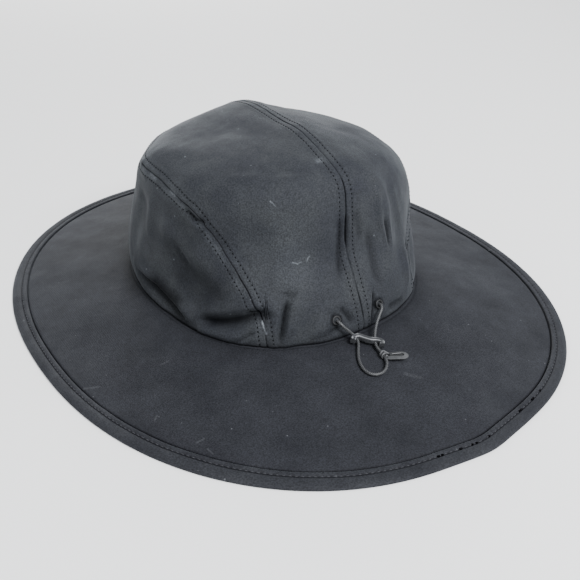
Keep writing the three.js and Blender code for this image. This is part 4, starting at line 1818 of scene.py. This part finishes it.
def finish_hard(piece: Piece, name: str, place: Matrix, finish: str, node: str) -> Piece:
    """Names a modelled piece, puts it in place and dresses it.

    Args:
        piece: The piece, modelled about its own axes.
        name: Its name.
        place: The matrix that puts it on the hat.
        finish: Its material's name.
        node: The frame's node that it stands for.

    Returns:
        The piece.
    """
    switch_mode(OBJECT)
    piece.name = name
    piece.data.name = name
    piece.data.transform(piece.matrix_world)
    piece.matrix_world = Matrix.Identity(4)
    piece.data.transform(place)
    if not piece.data.materials:
        piece.data.materials.append(bpy.data.materials[finish])
    make_active(piece)
    bpy.ops.object.shade_smooth_by_angle(angle=SMOOTH_ANGLE)
    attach(piece, BODY)
    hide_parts(node)
    return piece


@dataclass
class Eyelet:
    """A moulded ring whose two flanges grip the crown's cloth."""

    node: str
    hole: float = 1.7 * MM
    barrel: float = 2.15 * MM
    rim: float = 2.8 * MM
    flange: float = 0.75 * MM
    grip: float = 1.9 * MM
    round: float = 0.3 * MM
    corners: int = 48

    def place(self) -> Matrix:
        """The matrix that seats it like the frame's own ring."""
        corners = np.array([v.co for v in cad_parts[self.node].data.vertices])
        low, high = corners.min(0), corners.max(0)
        middle = (low + high) / 2
        axis = np.linalg.svd(corners - corners.mean(0), full_matrices=False)[2][2]
        axis = axis * math.copysign(1, axis @ (middle * [1, 1, 0]))
        return Matrix.Translation(middle) @ Vector(axis).to_track_quat("Z", "Y").to_matrix().to_4x4()

    def build(self) -> Piece:
        """Models the ring.

        Returns:
            The ring.
        """
        bpy.ops.mesh.primitive_cylinder_add(vertices=self.corners, radius=self.rim, depth=self.flange,
                                            location=(0, 0, (self.grip + self.flange) / 2))
        piece = bpy.context.object
        bpy.ops.object.transform_apply(location=True)
        select_faces(piece, lambda middle, way: way.z < -0.9)
        bpy.ops.mesh.inset(thickness=self.rim - self.barrel)
        bpy.ops.mesh.extrude_region_move(TRANSFORM_OT_translate={"value": (0, 0, -self.grip)})
        bpy.ops.mesh.extrude_region_move(TRANSFORM_OT_translate={"value": (0, 0, 0)})
        wider = self.rim / self.barrel
        bpy.ops.transform.resize(value=(wider, wider, 1))
        bpy.ops.mesh.extrude_region_move(TRANSFORM_OT_translate={"value": (0, 0, -self.flange)})
        top = self.grip / 2 + self.flange * 0.9

        def is_face(middle: Vector, way: Vector) -> bool:
            """Whether it is one of the ring's two flat faces."""
            return abs(middle.z) > top and abs(way.z) > 0.9

        select_faces(piece, is_face)
        bpy.ops.mesh.inset(thickness=self.rim - self.hole)
        bpy.ops.mesh.bridge_edge_loops()
        select_faces(piece, is_face)
        round_rim(self.round, 4)
        name = f"{self.node}_ring"
        return finish_hard(piece, name, self.place(), EYELET_RUBBER.name, self.node)


AWAY_FROM_CROWN = np.array([0.6, 0.8])


@dataclass
class CordLock:
    """The slim bent lock that the cord runs through, with a channel along its top."""

    width: float = 3.2 * MM
    height: float = 3.4 * MM
    foot: float = 14.4 * MM
    tilt: float = -6.0
    round: float = 0.7 * MM
    channel_wall: float = 0.65 * MM
    channel_depth: float = 0.45 * MM
    end_round: float = 0.6 * MM

    def build(self) -> Piece:
        """Models the lock.

        Returns:
            The lock.
        """
        line = spaced_line(curve_through(np.array(LOCK_LINE_MM) * MM, 12), 0.45 * MM)
        profile = self._curve("lock_section", self._section(), True)
        spine = self._curve("lock_spine", np.concatenate([line, np.zeros((len(line), 1))], axis=1), False)
        spine.data.twist_mode = "Z_UP"
        spine.data.bevel_mode = "OBJECT"
        spine.data.bevel_object = profile
        spine.data.use_fill_caps = True
        make_active(spine)
        bpy.ops.object.convert(target="MESH")
        piece = bpy.context.object
        bpy.data.objects.remove(profile)
        select_faces(piece, lambda middle, way: True)
        bpy.ops.mesh.remove_doubles(threshold=0.01 * MM)
        bpy.ops.mesh.normals_make_consistent(inside=False)
        switch_mode(OBJECT)
        ends = (Vector((*line[0], 0)), Vector((*line[-1], 0)))

        def is_end(middle: Vector, way: Vector) -> bool:
            """Whether it is one of the lock's two end faces."""
            return abs(way.z) < 0.2 and min((middle - end).length for end in ends) < 0.2 * MM

        select_faces(piece, is_end)
        round_rim(self.end_round, 3)
        top = self.height / 2 - 0.02 * MM
        select_faces(piece, lambda middle, way: way.z > 0.95 and middle.z > top)
        bpy.ops.mesh.inset(thickness=self.channel_wall, depth=-self.channel_depth)
        highlight_down_to = top - self.channel_depth * 0.6

        def is_painted_highlight(middle: Vector, way: Vector) -> bool:
            """Whether it is a part of the rim that gets the painted highlight."""
            return way.z > 0.35 and middle.z > highlight_down_to and self._near_side(middle, line)

        # Painted highlight: the near rim's upward faces take the paler plastic.
        tone_faces(piece, (LOCK_PLASTIC.name, LOCK_PAINTED_HIGHLIGHT.name), is_painted_highlight)
        middle = line[len(line) // 2]
        lean = Matrix.Rotation(math.radians(self.tilt), 4, "X")
        place = Matrix.Translation((middle[0], middle[1], self.foot + self.height / 2)) @ lean
        place = place @ Matrix.Translation((-middle[0], -middle[1], 0))
        return finish_hard(piece, "cord_lock_body", place, LOCK_PLASTIC.name, "cord_lock")

    @staticmethod
    def _near_side(place: Vector, line: Array) -> bool:
        """Whether a place lies on the side of the lock away from the crown, whose rim gets a painted
        highlight.

        Args:
            place: A place on the lock.
            line: The lock's middle line.

        Returns:
            True on that side.
        """
        away = np.array(place[:2]) - line[:, :2]
        nearest = away[np.argmin((away ** 2).sum(1))]
        return float(nearest @ AWAY_FROM_CROWN) > 0

    def _section(self) -> Array:
        """Lays out the bar's rounded section.

        Returns:
            Its points in its own plane.
        """
        corners = []
        for index in range(4):
            middle = math.pi / 2 * index
            sx = 1 if index in (0, 3) else -1
            sy = 1 if index in (0, 1) else -1
            for step in range(5):
                angle = middle + math.pi / 2 * step / 4
                corners.append((sx * (self.width / 2 - self.round) + math.cos(angle) * self.round,
                                sy * (self.height / 2 - self.round) + math.sin(angle) * self.round, 0.0))
        return np.array(corners)

    @staticmethod
    def _curve(name: str, points: Array, closed: bool) -> Piece:
        """Makes a curve with straight spans.

        Args:
            name: Its name.
            points: Its points.
            closed: Whether it closes on itself.

        Returns:
            The curve.
        """
        data = bpy.data.curves.new(name, "CURVE")
        data.dimensions = "3D"
        spline = data.splines.new("POLY")
        spline.points.add(len(points) - 1)
        for point, place in zip(spline.points, points):
            point.co = (*place, 1.0)
        spline.use_cyclic_u = closed
        return linked(name, data)


@dataclass
class PullTab:
    """The flat oval tab, with a raised rim and an eye."""

    length: float = 11 * MM
    width: float = 4.6 * MM
    thickness: float = 1.5 * MM
    eye: float = 1.05 * MM
    rim: float = 0.6 * MM
    dish: float = 0.3 * MM
    round: float = 0.35 * MM
    neck: float = 0.8
    heading: float = 152.0
    tilt: float = -5.0
    place: tuple[float, float, float] = (2.2, 120.0, 10.8)

    def build(self) -> Piece:
        """Models the tab.

        Returns:
            The tab.
        """
        radius = self.width / 2
        bpy.ops.mesh.primitive_cylinder_add(vertices=48, radius=radius, depth=self.thickness)
        piece = bpy.context.object
        select_faces(piece, lambda middle, way: middle.x > 0.01 * MM and abs(way.z) < 0.5)
        bpy.ops.transform.translate(value=(self.length - self.width, 0, 0))
        select_faces(piece, lambda middle, way: middle.x < -0.01 * MM and abs(way.z) < 0.5)
        bpy.ops.transform.resize(value=(1, self.neck, 1), center_override=(0, 0, 0))
        select_faces(piece, lambda middle, way: abs(way.z) > 0.9)
        round_rim(self.round, 3)
        select_faces(piece, lambda middle, way: way.z > 0.9 and middle.z > self.thickness * 0.45)
        bpy.ops.mesh.inset(thickness=self.rim)
        bpy.ops.mesh.inset(thickness=0.15 * MM, depth=-self.dish)
        switch_mode(OBJECT)
        bpy.ops.mesh.primitive_cylinder_add(vertices=28, radius=self.eye, depth=self.thickness * 3)
        cutter = bpy.context.object
        cut = piece.modifiers.new("eye", "BOOLEAN")
        cut.operation = "DIFFERENCE"
        cut.solver = "EXACT"
        cut.object = cutter
        make_active(piece)
        bpy.ops.object.modifier_apply(modifier=cut.name)
        bpy.data.objects.remove(cutter)
        # Painted highlight: the rim's upward faces take the paler rubber.
        tone_faces(piece, (TAB_RUBBER.name, TAB_PAINTED_HIGHLIGHT.name),
                   lambda middle, way: way.z > 0.3 and middle.z > self.thickness / 2 - self.dish * 0.7)
        lifted = Matrix.Translation((0, 0, self.thickness / 2))
        leant = Matrix.Rotation(math.radians(self.tilt), 4, "X") @ lifted
        turned = Matrix.Rotation(math.radians(self.heading), 4, "Z") @ leant
        place = Matrix.Translation(Vector(self.place) * MM) @ turned
        return finish_hard(piece, "pull_tab_body", place, TAB_RUBBER.name, "pull_tab")


@dataclass
class TabHitch:
    """The lace that is wound round the cord and holds the tab by its eye."""

    cord: Drawcord
    tab: PullTab
    lace: float = 1.15 * MM
    start: float = 0.614
    end: float = 0.650
    windings: float = 2.1

    def build(self) -> Piece:
        """Winds the lace and leads it through the tab's eye.

        Returns:
            The lace.
        """
        around = self.cord.diameter / 2 + self.lace / 2
        eye = np.array(self.tab.place) * MM + UP * (self.tab.thickness / 2)
        wound = []
        for share in np.linspace(0, 1, 70):
            centre, way = self.cord.place_at(self.start + (self.end - self.start) * share)
            side = np.cross(way, UP)
            side /= np.linalg.norm(side)
            over = np.cross(side, way)
            angle = self.windings * FULL_TURN * share
            wound.append(centre + around * (math.cos(angle) * over + math.sin(angle) * side))
        heading = math.radians(self.tab.heading)
        out = np.array([math.cos(heading), math.sin(heading), 0.0])
        through = [eye + out * 0.1 * MM + UP * 1.2 * MM, eye + out * 0.35 * MM, eye - UP * 1.1 * MM,
                   eye - out * 1.6 * MM - UP * 1.2 * MM]
        lead = curve_through([wound[-2], wound[-1], *through], 10)
        line = spaced_line(np.concatenate([np.array(wound[:-1]), lead[10:]]), 0.2 * MM)
        points, faces, uv = tube(line, np.full(len(line), self.lace / 2), 12)
        piece = make_piece("tab_hitch_lace", points, faces, HITCH_BRAID.name, uv)
        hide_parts("tab_hitch")
        return piece


# Studio

@dataclass(frozen=True)
class PhotoCamera:
    """The camera at the photo's place, in millimetres and degrees."""

    eye: tuple[float, float, float] = (254.3, 378.6, 274.1)
    turn: float = 35.1
    pitch: float = 31.51
    roll: float = 0.549
    focal_pixels: float = 773.0
    image_pixels: float = 580.0
    sensor: float = 36.0

    def build(self) -> Piece:
        """Makes the scene's camera.

        Returns:
            The camera.
        """
        turn, pitch, roll = (math.radians(a) for a in (self.turn, self.pitch, self.roll))
        right = Vector((-math.cos(turn), math.sin(turn), 0))
        level = math.cos(pitch)
        ahead = Vector((-math.sin(turn) * level, -math.cos(turn) * level, -math.sin(pitch)))
        above = right.cross(ahead)
        across = right * math.cos(roll) + above * math.sin(roll)
        top = above * math.cos(roll) - right * math.sin(roll)
        data = bpy.data.cameras.new("photo_camera")
        data.sensor_width = self.sensor
        data.lens = self.focal_pixels / self.image_pixels * self.sensor
        data.clip_start, data.clip_end = 0.01, 50
        camera = linked("photo_camera", data)
        matrix = Matrix.Identity(4)
        for row in range(3):
            matrix[row][0], matrix[row][1], matrix[row][2] = across[row], top[row], -ahead[row]
            matrix[row][3] = self.eye[row] * MM
        camera.matrix_world = matrix
        bpy.context.scene.camera = camera
        return camera


@dataclass(frozen=True)
class SoftBox:
    """A square studio light that faces the hat."""

    name: str
    place: tuple[float, float, float]
    size: float
    power: float
    colour: str = "#ffffff"
    target: tuple[float, float, float] = (0, 0, 0.05)

    def build(self) -> Piece:
        """Makes the light.

        Returns:
            The light.
        """
        data = bpy.data.lights.new(self.name, "AREA")
        data.size = self.size
        data.energy = self.power
        data.color = linear(self.colour)[:3]
        lamp = linked(self.name, data)
        lamp.location = self.place
        aim = Vector(self.target) - Vector(self.place)
        lamp.rotation_mode = "QUATERNION"
        lamp.rotation_quaternion = aim.to_track_quat("-Z", "Y")
        return lamp


@dataclass
class Studio:
    """The floor, the lights and the room's pale light."""

    floor_size: float = 8.0
    sky_tone: str = "#f3f6fa"
    sky_strength: float = 0.85
    boxes: tuple[SoftBox, ...] = (
        SoftBox("window_light", (-0.75, -1.8, 0.65), 1.2, 33.0),
        SoftBox("front_light", (-0.1, 1.25, 1.4), 0.8, 70.0, "#f8f9fd"),
    )

    def build(self) -> None:
        """Makes the floor, the lights and the world."""
        half = self.floor_size / 2
        points = np.array([(-half, -half, 0), (half, -half, 0), (half, half, 0), (-half, half, 0)])
        mesh = bpy.data.meshes.new("floor")
        mesh.from_pydata(points.tolist(), [], [(0, 1, 2, 3)])
        floor = linked("floor", mesh)
        mesh.materials.append(FLOOR_PAINT.material())
        for box in self.boxes:
            box.build()
        world = bpy.data.worlds.new("studio")
        bpy.context.scene.world = world
        world.use_nodes = True
        back = next(n for n in world.node_tree.nodes if n.type == "BACKGROUND")
        back.inputs["Color"].default_value = linear(self.sky_tone)
        back.inputs["Strength"].default_value = self.sky_strength


def main() -> None:
    """Builds the studio and the hat, piece by piece."""
    logging.basicConfig(level=logging.INFO, format="%(message)s")
    PhotoCamera().build()
    for finish in FINISHES:
        finish.material()
    drawcord = Drawcord()
    cord = report(drawcord.build_cord())
    Studio().build()
    tab = PullTab()
    for part in (Eyelet("eyelet_left"), Eyelet("eyelet_right"), CordLock(), tab, TabHitch(drawcord, tab)):
        report(part.build())
    crown_form = CrownForm()
    crown = Crown(crown_form)
    panels = [report(panel).name for panel in crown.build()]
    brim_form = BrimForm(crown_form)
    report(Brim(brim_form).build())
    band_maker = EdgeBand(brim_form)
    band = report(band_maker.build()).name
    for stitches, cloth, lines, thread, slot in (
        (CROWN_STITCHES, panels, crown.stitch_lines(), DARK_THREAD, "crown_cloth"),
        (BAND_STITCHES, [band], [band_maker.stitch_line()], GREY_THREAD, "band_cloth"),
        (BAND_HOLES, [band], band_maker.holes(), HOLE_SHADE, "band_cloth"),
    ):
        report(stitches.build(laid_on(cloth, lines), thread.name, slot))
    length = float(np.linalg.norm(np.diff(drawcord.line(), axis=0), axis=1).sum())
    drawcord.line().tolist()


if __name__ == "__main__":
    main()
